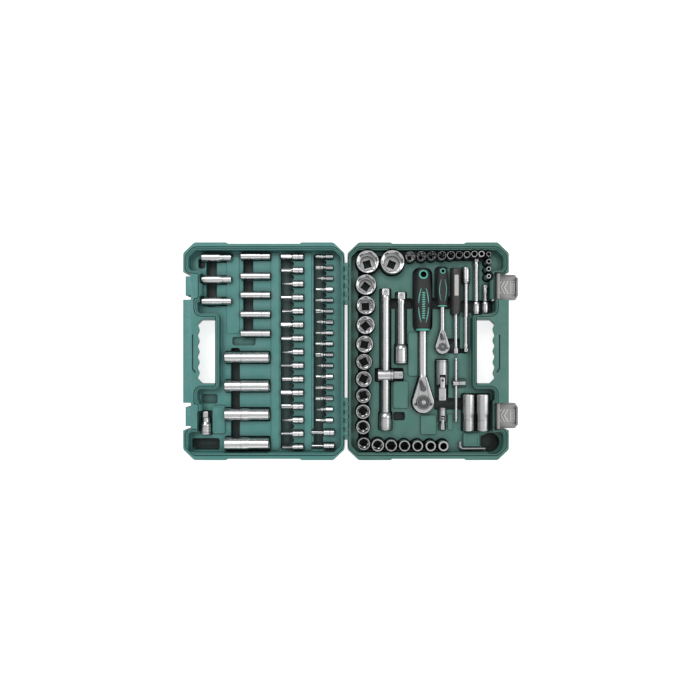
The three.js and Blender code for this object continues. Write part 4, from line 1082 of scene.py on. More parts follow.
def latch(name, y):
    low, high = mm_box(name)
    bottom, inner, outer = low.z, low.x, high.x
    face = bottom + 2.5
    pin_low, pin_high = mm_box(name.replace("latch", "latch_pin"))
    pivot = ((pin_low.x + pin_high.x) / 2, (pin_low.z + pin_high.z) / 2)
    half = (high.y - low.y) / 2
    plate_outline = [(inner, y - half), (outer - 3.4, y - half), (outer, y - half + 5),
                     (outer, y + half - 5),
                     (outer - 3.4, y + half), (inner, y + half)]
    rings = [at_height(rounded(plate_outline, 1.5, c - 0.8), bottom + 0.8 - s) for c, s in
             [(0.8 * c, 0.8 * s) for c, s in curve_of(1.0)][::-1]]
    rings += [at_height(rounded(plate_outline, 1.5, c - 0.6), face - 0.6 + s) for c, s in
              [(0.6 * c, 0.6 * s) for c, s in curve_of(1.0)]]
    verts, faces = loft(rings)
    plate = new_object(name.replace("_", " "), verts, faces, SMOKED)
    length = 2 * half
    eye = lofted("eye", [circle(3.2, 0), circle(3.7, 0.5), circle(3.7, length - 0.5), circle(3.2, length)],
                 SMOKED,
                 "+y", (pivot[0], y - half, pivot[1]))
    wall = raised_bar(inner, inner + 2.5, y - half, y + half, face - 1, pivot[1])
    lip = raised_bar(outer - 3, outer, y - half + 6.5, y + half - 6.5, face - 1, high_of_hook(face))
    ribs = [raised_bar(inner + 1, outer - 6, side - 1, side + 1, face - 1, face + 1.4)
            for side in (y - half + 1.2, y + half - 1.2)]
    combine(plate, [eye, wall, lip, *ribs], "UNION")
    bore = lofted("bore", [circle(1.8, 0), circle(1.8, length + 4)], None, "+y",
                  (pivot[0], y - half - 2, pivot[1]))
    combine(plate, [bore], "DIFFERENCE")
    engraved = row("engraved chevrons", chevron(11.5, 6.5, 2.2, 1.3), 3, (inner + 6.0, y, bottom - 0.5),
                   (6.0, 0, 0),
                   SMOKED)
    combine(plate, [engraved], "DIFFERENCE")
    # The raised marks use the paler copy of the smoked plastic, a painted highlight.
    marks = [
        row("chevrons", chevron(11.5, 6.5, 2.2, 0.5), 3, (inner + 6.0, y, face), (6.0, 0, 0), SMOKED_HIGHLIGHT),
        row("thumb ribs", raised_bar(0, 1.1, -8.5, 8.5, -0.5, 0.5), 3, (outer - 10.6, y, face), (2.2, 0, 0),
            SMOKED_HIGHLIGHT),
    ]
    marks.append(frame_bars(outer - 12.6, outer - 4.2, y - 11, y + 11, face - 0.3))
    whole = join(name.replace("_", " "), [plate, *marks])
    finish_mesh(whole, name, replaces=[name])


def high_of_hook(face):
    return face + 7.0


def raised_bar(x0, x1, y0, y1, z0, z1, soft=0.3):
    points = rectangle(x0, x1, y0, y1)
    rings = [at_height(rounded(points, 0.5, 0), z0), at_height(rounded(points, 0.5, 0), z1 - soft),
             at_height(rounded(points, 0.5, -soft), z1)]
    verts, faces = loft(rings)
    return new_object("bar", verts, faces, SMOKED)


def frame_bars(x0, x1, y0, y1, face):
    """A thin raised frame round a panel."""
    outer, inner = rectangle(x0, x1, y0, y1), rectangle(x0 + 1, x1 - 1, y0 + 1, y1 - 1)
    rings = [at_height(rounded(outer, 1.4, 0), face - 1.2), at_height(rounded(outer, 1.4, 0), face + 0.8),
             at_height(rounded(inner, 0.8, 0), face + 0.8), at_height(rounded(inner, 0.8, 0), face - 1.2)]
    verts, faces = loft(rings, "loop")
    return new_object("panel frame", verts, faces, SMOKED_HIGHLIGHT)


latch("latch_upper", LATCH_Y)
latch("latch_lower", -LATCH_Y)
print("latches done, pieces so far:", len(made))

# %% [markdown]
# ## Sockets
# A socket is turned from bar, then broached: a hexagon from the top for the nut, and a square from below
# for the drive. Here it is one loft whose rings run up the outside, over the rim, down the hexagon, across
# the shoulder and down the square hole, and then join the first ring again. So a socket is one closed skin
# with a real hole through it.

# %% Sockets
HEX_CORNER = 1 / math.cos(math.pi / 6)


def socket_rings(across, radius, foot, height, drive, groove=None, turn=0.0):
    mouth = min(height * 0.45, across)
    shoulder = height * 0.35
    bore = across * 0.46
    hole = drive + 0.2
    rim = min(across / 2 * HEX_CORNER + 0.35, radius - 0.5)
    outside = [circle(foot - 0.9, 0), circle(foot - 0.3, 0.25), circle(foot, 0.9)]
    if groove:
        for step, depth in ((-1.1, 0), (-0.7, 0.35), (0.7, 0.35), (1.1, 0)):
            outside.append(circle((foot if groove < 0.45 else radius) - depth, height * groove + step))
    body = [circle(foot, height * 0.42), circle(radius, height * 0.5)]
    outside = outside + body
    if groove and groove >= 0.45:
        outside = sorted(outside, key=lambda ring: ring[0][2])
    outside += [circle(radius, height - 1.1), circle(radius - 0.25, height - 0.4),
                circle(radius - 0.8, height)]
    inside = [circle(rim, height), flats(6, across + 0.2, height - 1.3),
              flats(6, across + 0.2, height - mouth)]
    if bore * 2 > hole:
        inside += [circle(bore, height - mouth - 0.6), circle(bore, shoulder + 0.6),
                   circle(bore - 0.6, shoulder)]
        inside.append(flats(4, hole + 1.0, shoulder))
    inside += [flats(4, hole, shoulder - 0.5), flats(4, hole, 0.6), flats(4, hole + 0.8, 0)]
    return [spun(ring, turn) for ring in outside + inside]


def spun(ring, turn):
    c, s = math.cos(turn), math.sin(turn)
    return [(x * c - y * s, x * s + y * c, z) for x, y, z in ring]


def foot_radius(radius, drive):
    return max(radius * 0.9, drive * 0.78)


SIZES = {name: int(name.rsplit("_", 1)[1]) for name in STANDING + DEEP + ["plug_socket_16",
                                                                          "plug_socket_21"]}
for count, name in enumerate(STANDING):
    low, high = mm_box(name)
    radius = (high.x - low.x) / 2
    if SIZES[name] < 13:
        radius = SIZES[name] * 0.2 + 7.3
    height = high.z - low.z
    rings = socket_rings(SIZES[name], radius, foot_radius(radius, 12.7), height, 12.7, None, 0.9 * count)
    piece = lofted(name.replace("_", " "), rings, CHROME, "+z",
                   ((low.x + high.x) / 2, (low.y + high.y) / 2, low.z),
                   "loop")
    finish_mesh(piece, NODE_BODY[name], replaces=[name])
for name in DEEP:
    low, high = mm_box(name)
    radius = (high.y - low.y) / 2
    rings = socket_rings(SIZES[name], radius, foot_radius(radius, 12.7), high.x - low.x, 12.7, 0.62, 0.3)
    piece = lofted(name.replace("_", " "), rings, CHROME, "-x",
                   (high.x, (low.y + high.y) / 2, (low.z + high.z) / 2),
                   "loop")
    finish_mesh(piece, NODE_BODY[name], replaces=[name])
for name in ("plug_socket_16", "plug_socket_21"):
    low, high = mm_box(name)
    radius = (high.x - low.x) / 2
    rings = socket_rings(SIZES[name], radius, foot_radius(radius, 12.7), high.y - low.y, 12.7, 0.3, 0.2)
    piece = lofted(name.replace("_", " "), rings, CHROME, "+y",
                   ((low.x + high.x) / 2, low.y, (low.z + high.z) / 2),
                   "loop")
    finish_mesh(piece, NODE_BODY[name], replaces=[name])
print("sockets:", len(STANDING) + len(DEEP) + 2)

# %% [markdown]
# ## Bars, T-handles and universal joints
# An extension bar has a square hole in its thick end and a square with a spring ball at its other end. The
# ball is what holds a socket. The T-handle's head slides along the long bar, so it has a cross bore.

# %% Extension bars
def bar_rings(length, shaft, end, end_length, drive, grooves=()):
    hole, square = drive + 0.2, drive - 0.2
    neck = length - drive * 0.95
    inside = [flats(4, hole, drive * 1.15), flats(4, hole, 0.8), flats(4, hole + 1.0, 0)]
    outside = [circle(end - 0.9, 0), circle(end - 0.3, 0.3), circle(end, 1.0)]
    for groove in grooves:
        for step, depth in ((-0.9, 0), (-0.5, 0.4), (0.5, 0.4), (0.9, 0)):
            outside.append(circle(end - depth, groove + step))
    outside += [circle(end, end_length - 1.2), circle(end - 0.35, end_length - 0.3)]
    run = end * 0.6
    outside += [circle(end - (end - shaft) * k, end_length + run * (0.1 + 0.9 * k ** 0.8)) for k in (0.25,
                                                                                                     0.6,
                                                                                                     0.9,
                                                                                                     1.0)]
    tail = min(shaft + 0.9, end)
    outside += [circle(shaft, neck - 9), circle(tail, neck - 7.5), circle(tail, neck - 1.2),
                circle(tail - 0.7, neck)]
    corner = min(0.25, 0.03 * drive)
    outside += [flats(4, min(square, 2 * tail - 1.6), neck + 0.1, soft=corner),
                flats(4, square, neck + 0.8, soft=0.2),
                flats(4, square, length - 1.0, soft=0.2), flats(4, square - 1.3, length, soft=0.3)]
    return inside + outside


def ball(x, y, z, radius, material):
    rings = [circle(radius * math.sin(t), -radius * math.cos(t), 16) for t in (0.25, 0.8, 1.3, 1.84, 2.35,
                                                                               2.9)]
    return lofted("ball", rings, material, "+z", (x, y, z))


BARS = {
    "bar_half_250": ("+y", 7.25, 11.0, 25.0, 12.7, (3.4, 21.0)),
    "bar_half_125": ("+y", 6.4, 10.6, 28.0, 12.7, (3.4, 24.0)),
    "bar_quarter_150": ("-y", 3.6, 6.25, 25.0, 6.35, (3.0, 21.5)),
    "bar_quarter_100": ("+y", 3.4, 5.75, 20.0, 6.35, (3.0, 16.5)),
    "bar_quarter_50": ("+y", 3.4, 5.9, 18.0, 6.35, (3.0, 14.5)),
}
for name, (axis, shaft, end, end_length, drive, grooves) in BARS.items():
    low, high = mm_box(name)
    x, z = (low.x + high.x) / 2, (low.z + high.z) / 2
    start, sign = (low.y, 1) if axis == "+y" else (high.y, -1)
    length = high.y - low.y
    rings = bar_rings(length, shaft, end, end_length, drive, grooves)
    bar = lofted(name.replace("_", " "), rings, CHROME, axis, (x, start, z))
    tip = ball(x, start + sign * (length - drive * 0.4), z + drive * 0.44, drive * 0.16, SATIN)
    finish_mesh(join(name.replace("_", " "), [bar, tip]), NODE_BODY[name], replaces=[name])
print("bars:", len(BARS))

# %% T-handles
def centre_of(name):
    low, high = mm_box(name)
    return (low + high) / 2, low, high


def square_bar(axis, at, side, length, material, base_side=None):
    """A square drive with soft corners and a bevelled end, along an axis."""
    rings = [flats(4, base_side or side, 0, soft=0.2), flats(4, side, 0.6, soft=0.2),
             flats(4, side, length - side * 0.09, soft=0.2), flats(4, side * 0.86, length, soft=0.25)]
    return lofted("square", rings, material, axis, at)


middle, low, high = centre_of("tee_head_half")
bar_middle = centre_of("bar_half_250")[0]
radius, half = (high.y - low.y) / 2, bar_middle.x - low.x
body_rings = [circle(radius - 1.6, 0), circle(radius - 0.5, 0.4), circle(radius, 1.6),
              circle(radius, 2 * half - 5.4),
              circle(radius - 1.2, 2 * half - 4.8), circle(radius - 1.2, 2 * half - 3.4),
              circle(radius - 0.4, 2 * half - 3),
              circle(radius - 0.4, 2 * half - 1), circle(radius - 1.6, 2 * half)]
head = lofted("tee head", body_rings, SATIN, "+x", (low.x, middle.y, bar_middle.z))
stub = square_bar("+x", (low.x + 2 * half - 0.5, middle.y, bar_middle.z), 12.5,
                  high.x - low.x - 2 * half + 0.5, SATIN)
combine(head, [stub], "UNION")
bore = lofted("bore", [circle(7.6, 0), circle(7.6, 40)], None, "+y",
              (bar_middle.x, middle.y - 20, bar_middle.z))
combine(head, [bore], "DIFFERENCE")
tip = ball(high.x - 4.5, middle.y, bar_middle.z + 5.6, 2.0, CHROME)
finish_mesh(join("tee head", [head, tip]), NODE_BODY["tee_head_half"], replaces=["tee_head_half"])

middle, low, high = centre_of("tee_rod_quarter")
length = high.y - low.y
rod_rings = [circle(1.6, 0, 24), circle(2.3, 0.4, 24), circle(2.6, 1.0, 24), circle(2.6, 3.2, 24),
             circle(2.3, 3.6, 24),
             circle(2.3, 4.4, 24), circle(2.6, 4.8, 24)]
rod_rings += [[(x, y, length - z) for x, y, z in ring] for ring in rod_rings[::-1]]
rod = lofted("tee rod", rod_rings, CHROME, "+y", (middle.x, low.y, middle.z))
finish_mesh(rod, NODE_BODY["tee_rod_quarter"], replaces=["tee_rod_quarter"])
slide_middle, low, high = centre_of("tee_slider_quarter")
radius = (high.y - low.y) / 2
slider_rings = [circle(radius - 0.8, 0), circle(radius - 0.2, 0.3), circle(radius, 0.8),
                circle(radius, 9.5),
                circle(radius - 0.7, 10), circle(radius - 0.7, 10.8), circle(radius - 0.1, 11.2),
                circle(radius - 0.1, 13),
                circle(radius - 0.8, 13.5)]
slider = lofted("tee slider", slider_rings, SATIN, "+x", (low.x, slide_middle.y, middle.z))
combine(slider, [square_bar("+x", (low.x + 13, slide_middle.y, middle.z), 6.2, high.x - low.x - 13, SATIN)],
        "UNION")
bore = lofted("bore", [circle(2.75, 0), circle(2.75, 20)], None, "+y",
              (middle.x, slide_middle.y - 10, middle.z))
combine(slider, [bore], "DIFFERENCE")
finish_mesh(slider, NODE_BODY["tee_slider_quarter"], replaces=["tee_slider_quarter"])
print("T-handles done")

# %% [markdown]
# A universal joint is two forks at right angles to each other, held by a cross-shaped block with four pins.
# Each fork is made as a turned blank with a slot cut out, which is how such forks are milled.

# %% Universal joints
def universal(label, drive, swing=8.0):
    names = [f"universal_{label}_{part}" for part in ("socket", "cross", "drive")]
    middle, low, high = centre_of(names[0])
    cross_middle, _, _ = centre_of(names[1])
    _, drive_low, _ = centre_of(names[2])
    x, z, pivot, top = middle.x, middle.z, cross_middle.y, high.y
    radius = (high.x - low.x) / 2
    gap, reach, pin, ear = 0.3, radius * 0.95, radius * 0.22, radius * 0.52
    length = top - pivot

    blank = lofted("blank", [
        circle(radius - 1.6, -reach), circle(radius - 0.4, -reach + 1.2), circle(radius, -reach + 2.6),
        circle(radius, length - 4.6), circle(radius - 0.5, length - 4.2),
        circle(radius - 0.5, length - 3.0),
        circle(radius, length - 2.6), circle(radius, length - 1.0), circle(radius - 0.9, length),
    ], SATIN, "+y", (x, pivot, z))
    ear_end = lofted("ear end", [circle(reach, 0), circle(reach, 3 * radius)], None, "+x",
                     (x - 1.5 * radius, pivot, z))
    behind = slab(x - 2 * radius, x + 2 * radius, pivot, top + 5, z - 2 * radius, z + 2 * radius)
    combine(ear_end, [behind], "UNION")
    combine(blank, [ear_end], "INTERSECT")
    cuts = [
        slab(x - ear, x + ear, pivot - 2 * reach, pivot + reach, z - 2 * radius, z + 2 * radius),
        lofted("square hole", [flats(4, drive + 0.2, 0), flats(4, drive + 0.2, drive * 1.1 - 0.6),
                               flats(4, drive + 1.2, drive * 1.1)],
               None, "+y", (x, top - drive * 1.1 + 0.1, z)),
        lofted("pin bore", [circle(pin + gap, 0, 24), circle(pin + gap, 4 * radius, 24)], None, "+x",
               (x - 2 * radius, pivot, z)),
    ]
    combine(blank, cuts, "DIFFERENCE")
    finish_mesh(blank, NODE_BODY[names[0]], replaces=[names[0]])

    side = ear - gap
    block_rings = [flats(4, 2 * side - 0.8, -side, soft=0.1), flats(4, 2 * side, -side + 0.4, soft=0.1),
                   flats(4, 2 * side, side - 0.4, soft=0.1), flats(4, 2 * side - 0.8, side, soft=0.1)]
    cube = lofted("cross", block_rings, DARK_STEEL, "+z", (x, pivot, z))
    pins = [
        lofted("pin", [circle(pin - 0.3, -radius + 0.5, 24), circle(pin, -radius + 0.9, 24),
                       circle(pin, radius - 0.9, 24), circle(pin - 0.3, radius - 0.5, 24)],
               DARK_STEEL, axis, (x, pivot, z))
        for axis in ("+x", "+z")
    ]
    combine(cube, pins, "UNION")
    finish_mesh(cube, NODE_BODY[names[1]], replaces=[names[1]])

    turn = math.sin(math.radians(swing))
    neck = pivot - reach - 1.5 - radius * turn
    slim = ear - gap - reach * turn
    tongue = lofted("tongue", [circle(radius * 0.9, neck), circle(radius * 0.9, pivot + reach)], SATIN,
                    "+y", (x, 0, z))
    cap = lofted("cap", [circle(reach - gap, -2 * radius), circle(reach - gap, 2 * radius)], None, "+x",
                 (x, pivot, z))
    combine(cap, [slab(x - 2 * radius, x + 2 * radius, neck - 1, pivot, z - 2 * radius, z + 2 * radius)],
            "UNION")
    combine(tongue, [cap], "INTERSECT")
    slimmer = slab(x - slim, x + slim, neck - 1, pivot + reach + 1, z - 2 * radius, z + 2 * radius)
    combine(tongue, [slimmer], "INTERSECT")
    combine(tongue, [
        slab(x - 2 * radius, x + 2 * radius, pivot - reach, pivot + 2 * reach, z - ear, z + ear),
        lofted("pin bore", [circle(pin + gap, -2 * radius, 24), circle(pin + gap, 2 * radius, 24)], None,
               "+z",
               (x, pivot, z)),
    ], "DIFFERENCE")
    collar = lofted("collar", [circle(radius * 0.55, neck - 3.4), circle(radius * 0.62, neck - 3.0),
                               circle(radius * 0.62, neck + 0.6), circle(radius * 0.5, neck + 1.0)],
                    SATIN, "+y", (x, 0, z))
    stub = square_bar("-y", (x, neck - 1.8, z), drive - 0.2, neck - 1.8 - drive_low.y, SATIN)
    combine(tongue, [collar, stub], "UNION")
    tip = ball(x, drive_low.y + drive * 0.4, z + drive * 0.44, drive * 0.16, CHROME)
    finish_mesh(join(f"universal {label} drive", [tongue, tip]), NODE_BODY[names[2]], replaces=[names[2]])


def slab(x0, x1, y0, y1, z0, z1):
    """A plain cutter, never kept as a piece."""
    verts, faces = loft([at_height([(x0, y0), (x1, y0), (x1, y1), (x0, y1)], z) for z in (z0, z1)])
    return new_object("cutter", verts, faces)


universal("half", 12.7)
universal("quarter", 6.35)
print("universal joints done, pieces so far:", len(made))

# %% [markdown]
# ## Ratchets
# The chromed head is forged flat and round, and narrows into a shank that runs up inside the grip. The
# reversing lever sits in a V-shaped recess, and the drive turns under a ringed cap. The grip is black
# rubber moulded over a green core that shows as a collar, as a ring round the hanging hole and as narrow
# arcs along the top.

# %% Ratchet heads
def eased(points, t):
    """A smooth value at t from (t, value) pairs."""
    for (t0, v0), (t1, v1) in zip(points, points[1:]):
        if t <= t1:
            k = (t - t0) / (t1 - t0)
            k = k * k * (3 - 2 * k)
            return v0 + (v1 - v0) * k
    return points[-1][1]


def ratchet(label, shank, lever_y, lever, cap_radius, grip_radius, flat, hole_y, hole_radius, drive):
    body_name, grip_name, drive_name, lever_name = (
        f"ratchet_{label}_{part}" for part in ("body", "grip", "drive", "lever"))
    _, low, high = centre_of(body_name)
    drive_middle, drive_low, drive_high = centre_of(drive_name)
    grip_middle, grip_low, grip_high = centre_of(grip_name)
    x, head_y, axis = drive_middle.x, drive_middle.y, grip_middle.z
    radius = head_y - low.y
    bottom, top = low.z, high.z
    edge = shank / 2
    slope = head_y + radius * 2.3

    def outline(grow):
        return head_outline(x, head_y, radius + grow, edge + grow, slope)

    soft = radius * 0.09
    rings = [at_height(outline(c * soft - soft), bottom + soft - s * soft) for c, s in curve_of(1.0)[::-1]]
    rings += [at_height(outline(c * soft - soft), top - soft + s * soft) for c, s in curve_of(1.0)]
    verts, faces = loft(rings)
    body = new_object("ratchet body", verts, faces, CHROME)
    start, end = slope - 6, grip_low.y + 3
    neck = lofted("neck", [
        oval(edge * 0.99, (top - bottom) / 2 * 0.9, 0, 3.0),
        oval(edge * 0.99, (top - bottom) / 2 * 0.62, 9, 2.6),
        oval(edge, 4.0, 18, 2.4), oval(edge, 3.9, end - start, 2.4),
    ], CHROME, "+y", (x, start, axis))
    combine(body, [neck], "UNION")
    spindle = drive * 0.74
    wide = radius * 0.5
    tip_y = lever_y + lever * 1.9
    recess = [(x - wide, head_y + cap_radius * 0.66), (x + wide, head_y + cap_radius * 0.66),
              (x + edge * 0.62, tip_y), (x - edge * 0.62, tip_y)]
    rings = [at_height(rounded(recess, 2.0, 0), top - 0.9),
             at_height(rounded(recess, 2.0, 0.25), top - 0.2),
             at_height(rounded(recess, 2.0, 0.6), top + 0.1), at_height(rounded(recess, 2.0, 0.6), top + 3)]
    verts, faces = loft(rings)
    cuts = [new_object("recess", verts, faces)]
    cuts.append(lofted("ring", [circle(cap_radius + 0.9, 0), circle(cap_radius + 1.3, 3)], None, "+z",
                       (x, head_y, top - 0.9)))
    cuts.append(lofted("spindle bore", [circle(spindle + 0.3, 0), circle(spindle + 0.3, 60)], None, "+z",
                       (x, head_y, bottom - 20)))
    cuts.append(lofted("lever bore", [circle(lever * 0.28 + 0.3, 0), circle(lever * 0.28 + 0.3, 60)], None,
                       "+z",
                       (x, lever_y, top - 6)))
    screw = radius * 0.095
    for side in (-1, 1):
        at = (x + side * radius * 0.72, head_y - radius * 0.18, top - 0.6)
        cuts.append(lofted("screw hole", [circle(screw * 1.5, 0, 24), circle(screw * 1.8, 3, 24)], None,
                           "+z", at))
    combine(body, cuts, "DIFFERENCE")
    finish_mesh(body, NODE_BODY[body_name], replaces=[body_name])
    screws = []
    for side in (-1, 1):
        at = (x + side * radius * 0.72, head_y - radius * 0.18, top - 0.62)
        screws.append(lofted("screw", [circle(screw * 1.3, -0.4, 24), circle(screw * 1.3, 0.2, 24),
                                       circle(screw * 0.8, 0.5, 24), flats(4, screw * 0.7, 0.5, 24),
                                       flats(4, screw * 0.5, 0.1, 24)], DARK_STEEL, "+z", at))
    finish_mesh(join(f"ratchet {label} screws", screws), NODE_BODY[body_name])

    low, high = drive_low, drive_high
    cap_bottom, cap_top = top + 0.3, top + 2.3
    core = lofted("drive", [
        flats(4, drive * 0.84, low.z, soft=0.25), flats(4, drive - 0.2, low.z + drive * 0.08, soft=0.2),
        flats(4, drive - 0.2, bottom - 0.6, soft=0.2), circle(spindle - 0.5, bottom - 0.2),
        circle(spindle, bottom + 0.4),
        circle(spindle, cap_bottom), circle(cap_radius - 0.3, cap_bottom),
        circle(cap_radius, cap_bottom + 0.4),
        circle(cap_radius, cap_top - 0.6), circle(cap_radius - 0.6, cap_top),
        circle(cap_radius * 0.84, cap_top),
        circle(cap_radius * 0.82, cap_top - 0.5), circle(cap_radius * 0.72, cap_top - 0.5),
        circle(cap_radius * 0.7, cap_top - 0.1), circle(cap_radius * 0.46, cap_top - 0.1),
        circle(cap_radius * 0.42, cap_top - 1.2),
    ], SATIN, "+z", (x, head_y, 0))
    core.data.materials.append(DARK_STEEL)
    core.data.materials.append(CAP_STEEL)
    for face in core.data.polygons:
        distance = math.hypot(face.center.x - x, face.center.y - head_y)
        if face.center.z > cap_bottom and distance > cap_radius * 0.45:
            face.material_index = 1 if distance < cap_radius * 0.83 else 2
    tip = ball(x, head_y - drive * 0.44, low.z + drive * 0.42, drive * 0.16, CHROME)
    parts = [core, tip]
    if label == "half":
        combine(core, [lofted("button bore", [circle(4.3, top - 6), circle(4.3, cap_top + 5)], None, "+z",
                              (x, head_y, 0))], "DIFFERENCE")
    else:
        parts.append(lofted("boss", [circle(cap_radius * 0.4, cap_top - 1.4),
                                     circle(cap_radius * 0.4, cap_top - 0.5),
                                     circle(cap_radius * 0.3, cap_top - 0.1)], CAP_STEEL, "+z",
                                     (x, head_y, 0)))
    finish_mesh(join(f"ratchet {label} drive", parts), NODE_BODY[drive_name], replaces=[drive_name])
    if label == "half":
        _, low, high = centre_of("ratchet_half_button")
        button = lofted("ratchet half button", [
            circle(4.0, low.z), circle(4.0, high.z - 1.0), circle(3.6, high.z - 0.3), circle(2.6, high.z),
            circle(1.2, high.z - 0.25),
        ], SATIN, "+z", (x, head_y, 0))
        finish_mesh(button, NODE_BODY["ratchet_half_button"], replaces=["ratchet_half_button"])

    turn = math.radians(20)
    pad = [(-0.36, -0.1), (0.36, -0.1), (0.24, 1.2), (0.1, 1.5), (-0.1, 1.5), (-0.24, 1.2)]
    pad = [(a * lever, b * lever) for a, b in pad]
    rings = [at_height(rounded(pad, 0.6, 0), 0.3), at_height(rounded(pad, 0.6, 0), 2.0),
             at_height(rounded(pad, 0.6, -0.35), 2.6)]
    verts, faces = loft(rings)
    lever_piece = new_object("lever", verts, faces, DARK_STEEL)
    combine(lever_piece, [
        lofted("hub", [circle(lever * 0.28, -5.4), circle(lever * 0.28, 0.2), circle(lever * 0.4, 0.25),
                       circle(lever * 0.42, 0.6), circle(lever * 0.42, 2.4), circle(lever * 0.36, 3.0)],
               DARK_STEEL, "+z"),
    ], "UNION")
    ribs = row("ribs", raised_bar(-0.17 * lever, 0.17 * lever, -0.25, 0.25, 2.4, 3.0, 0.12), 4,
               (0, lever * 0.72, 0), (0, lever * 0.17, 0), DARK_STEEL)
    whole = join(f"ratchet {label} lever", [lever_piece, ribs])
    whole.data.transform(Matrix.Translation((x, lever_y, top + 0.3)) @ Matrix.Rotation(turn, 4, "Z"))
    finish_mesh(whole, NODE_BODY[lever_name], replaces=[lever_name])
    grip(label, grip_name, x, axis, grip_low.y, grip_high.y, grip_radius, flat, hole_y, hole_radius, shank)


# %% Ratchet grips
GRIP_SHAPE = [(0, 0.74), (0.03, 0.78), (0.12, 0.82), (0.3, 0.93), (0.48, 1.0), (0.65, 0.97), (0.82, 0.87),
              (0.93, 0.78), (0.975, 0.62), (1, 0.4)]


def grip(label, name, x, axis, start, end, radius, flat, hole_y, hole_radius, shank):
    length = end - start
    stations = [0, 0.004, 0.012, 0.03, 0.036, 0.044, 0.05] + [0.07 + 0.88 * i / 34 for i in range(35)]
    stations += [0.965, 0.98, 0.99, 0.997, 1.0]
    rings = []
    for t in stations:
        wide = radius * eased(GRIP_SHAPE, t)
        if t in (0, 1.0):
            wide *= 0.93
        if t in (0.036, 0.044):
            wide *= 0.95
        rings.append(oval(wide, min(wide * flat, radius * flat * 0.97), t * length, 2.3))
    handle = lofted("grip", rings, GRIP_BLACK, "+y", (x, start, axis))
    handle.data.materials.append(GRIP_GREEN)
    for face in handle.data.polygons:
        place = (face.center.y - start) / length
        if place < 0.033:
            face.material_index = 1
    hole = lofted("hole", [circle(hole_radius, -30), circle(hole_radius, 30)], None, "+z",
                  (x, hole_y, axis))
    tang = slab(x - shank / 2 - 0.3, x + shank / 2 + 0.3, start - 5, start + 3.6, axis - 4.3, axis + 4.3)
    combine(handle, [hole, tang], "DIFFERENCE")
    parts = [handle]

    def surface(dx, y):
        wide = radius * eased(GRIP_SHAPE, (y - start) / length)
        tall = min(wide * flat, radius * flat * 0.97)
        return axis + tall * (1 - min(abs(dx) / wide, 1) ** 2.3) ** (1 / 2.3)

    ring = []
    for step, rise in ((0.15, -1.0), (0.0, 0.15), (0.35, 0.4), (radius * 0.13, 0.4), (radius * 0.17, 0.1),
                       (radius * 0.17, -1.0)):
        ring.append([
            (x + (hole_radius + step) * math.cos(a), hole_y + (hole_radius + step) * math.sin(a),
             surface((hole_radius + step) * math.cos(a),
                     hole_y + (hole_radius + step) * math.sin(a)) + rise)
            for a in angles()
        ])
    verts, faces = loft(ring, "loop")
    parts.append(new_object("hole ring", verts, faces, GRIP_GREEN))
    front, back = start + length * 0.13, start + length * 0.67
    arcs = ((0.0, 0.44), (0.56, 1.0)) if label == "half" else ((0.0, 1.0),)
    for side in (-1, 1):
        for t0, t1 in arcs:
            parts.append(accent(x, side, front, back, t0, t1, radius, surface))
    panel_half = radius * 0.17
    pads = row("pads", raised_pad(panel_half, length * 0.018), 12, (0, 0, 0), (0, length * 0.036, 0),
               GRIP_GREEN,
               (0, 0, 0.25), 3)
    first = start + length * 0.2
    for vertex in pads.data.vertices:
        y = first + vertex.co.y
        vertex.co = (x + vertex.co.x, y, surface(vertex.co.x, y) + vertex.co.z)
    if label == "half":
        parts.append(pads)
    else:
        mesh = pads.data
        bpy.data.objects.remove(pads)
        bpy.data.meshes.remove(mesh)
    finish_mesh(join(f"ratchet {label} grip", parts), NODE_BODY[name], replaces=[name])


def raised_pad(half_x, half_y):
    """One small plain pad of the grip's centre strip."""
    rings = [oval(half_x, half_y * 0.6, -0.5, 3, 16), oval(half_x, half_y * 0.6, 0.1, 3, 16),
             oval(half_x * 0.85, half_y * 0.45, 0.3, 3, 16)]
    verts, faces = loft(rings)
    return new_object("pad", verts, faces)


def accent(x, side, front, back, t0, t1, radius, surface, steps=20):
    """A narrow green arc that follows the grip's surface."""
    rings = []
    for i in range(steps + 1):
        t = t0 + (t1 - t0) * i / steps
        y = front + (back - front) * t
        bow = radius * (0.25 + 0.30 * math.sin(math.pi * t) ** 0.8)
        half = radius * 0.055 * math.sin(math.pi * (i + 0.6) / (steps + 1.2)) ** 0.4
        rings.append([
            (x + side * (bow + dx), y, surface(bow + dx, y) + dz)
            for dx, dz in ((-half, -0.6), (half, -0.6), (half, 0.15), (0, 0.35), (-half, 0.15))
        ])
    verts, faces = loft(rings)
    return new_object("accent", verts, faces, GRIP_GREEN)


ratchet("half", 12.5, -66.0, 11.0, 12.2, 16.0, 0.84, 135.4, 5.4, 12.7)
ratchet("quarter", 8.0, 22.5, 7.0, 6.8, 11.2, 0.9, 141.6, 3.0, 6.35)
print("ratchets done, pieces so far:", len(made))

# %% [markdown]
# The spinner handle is a small screwdriver grip with shallow flutes and a plain grey label panel on top.
# Its shaft is a separate steel rod with a square end.

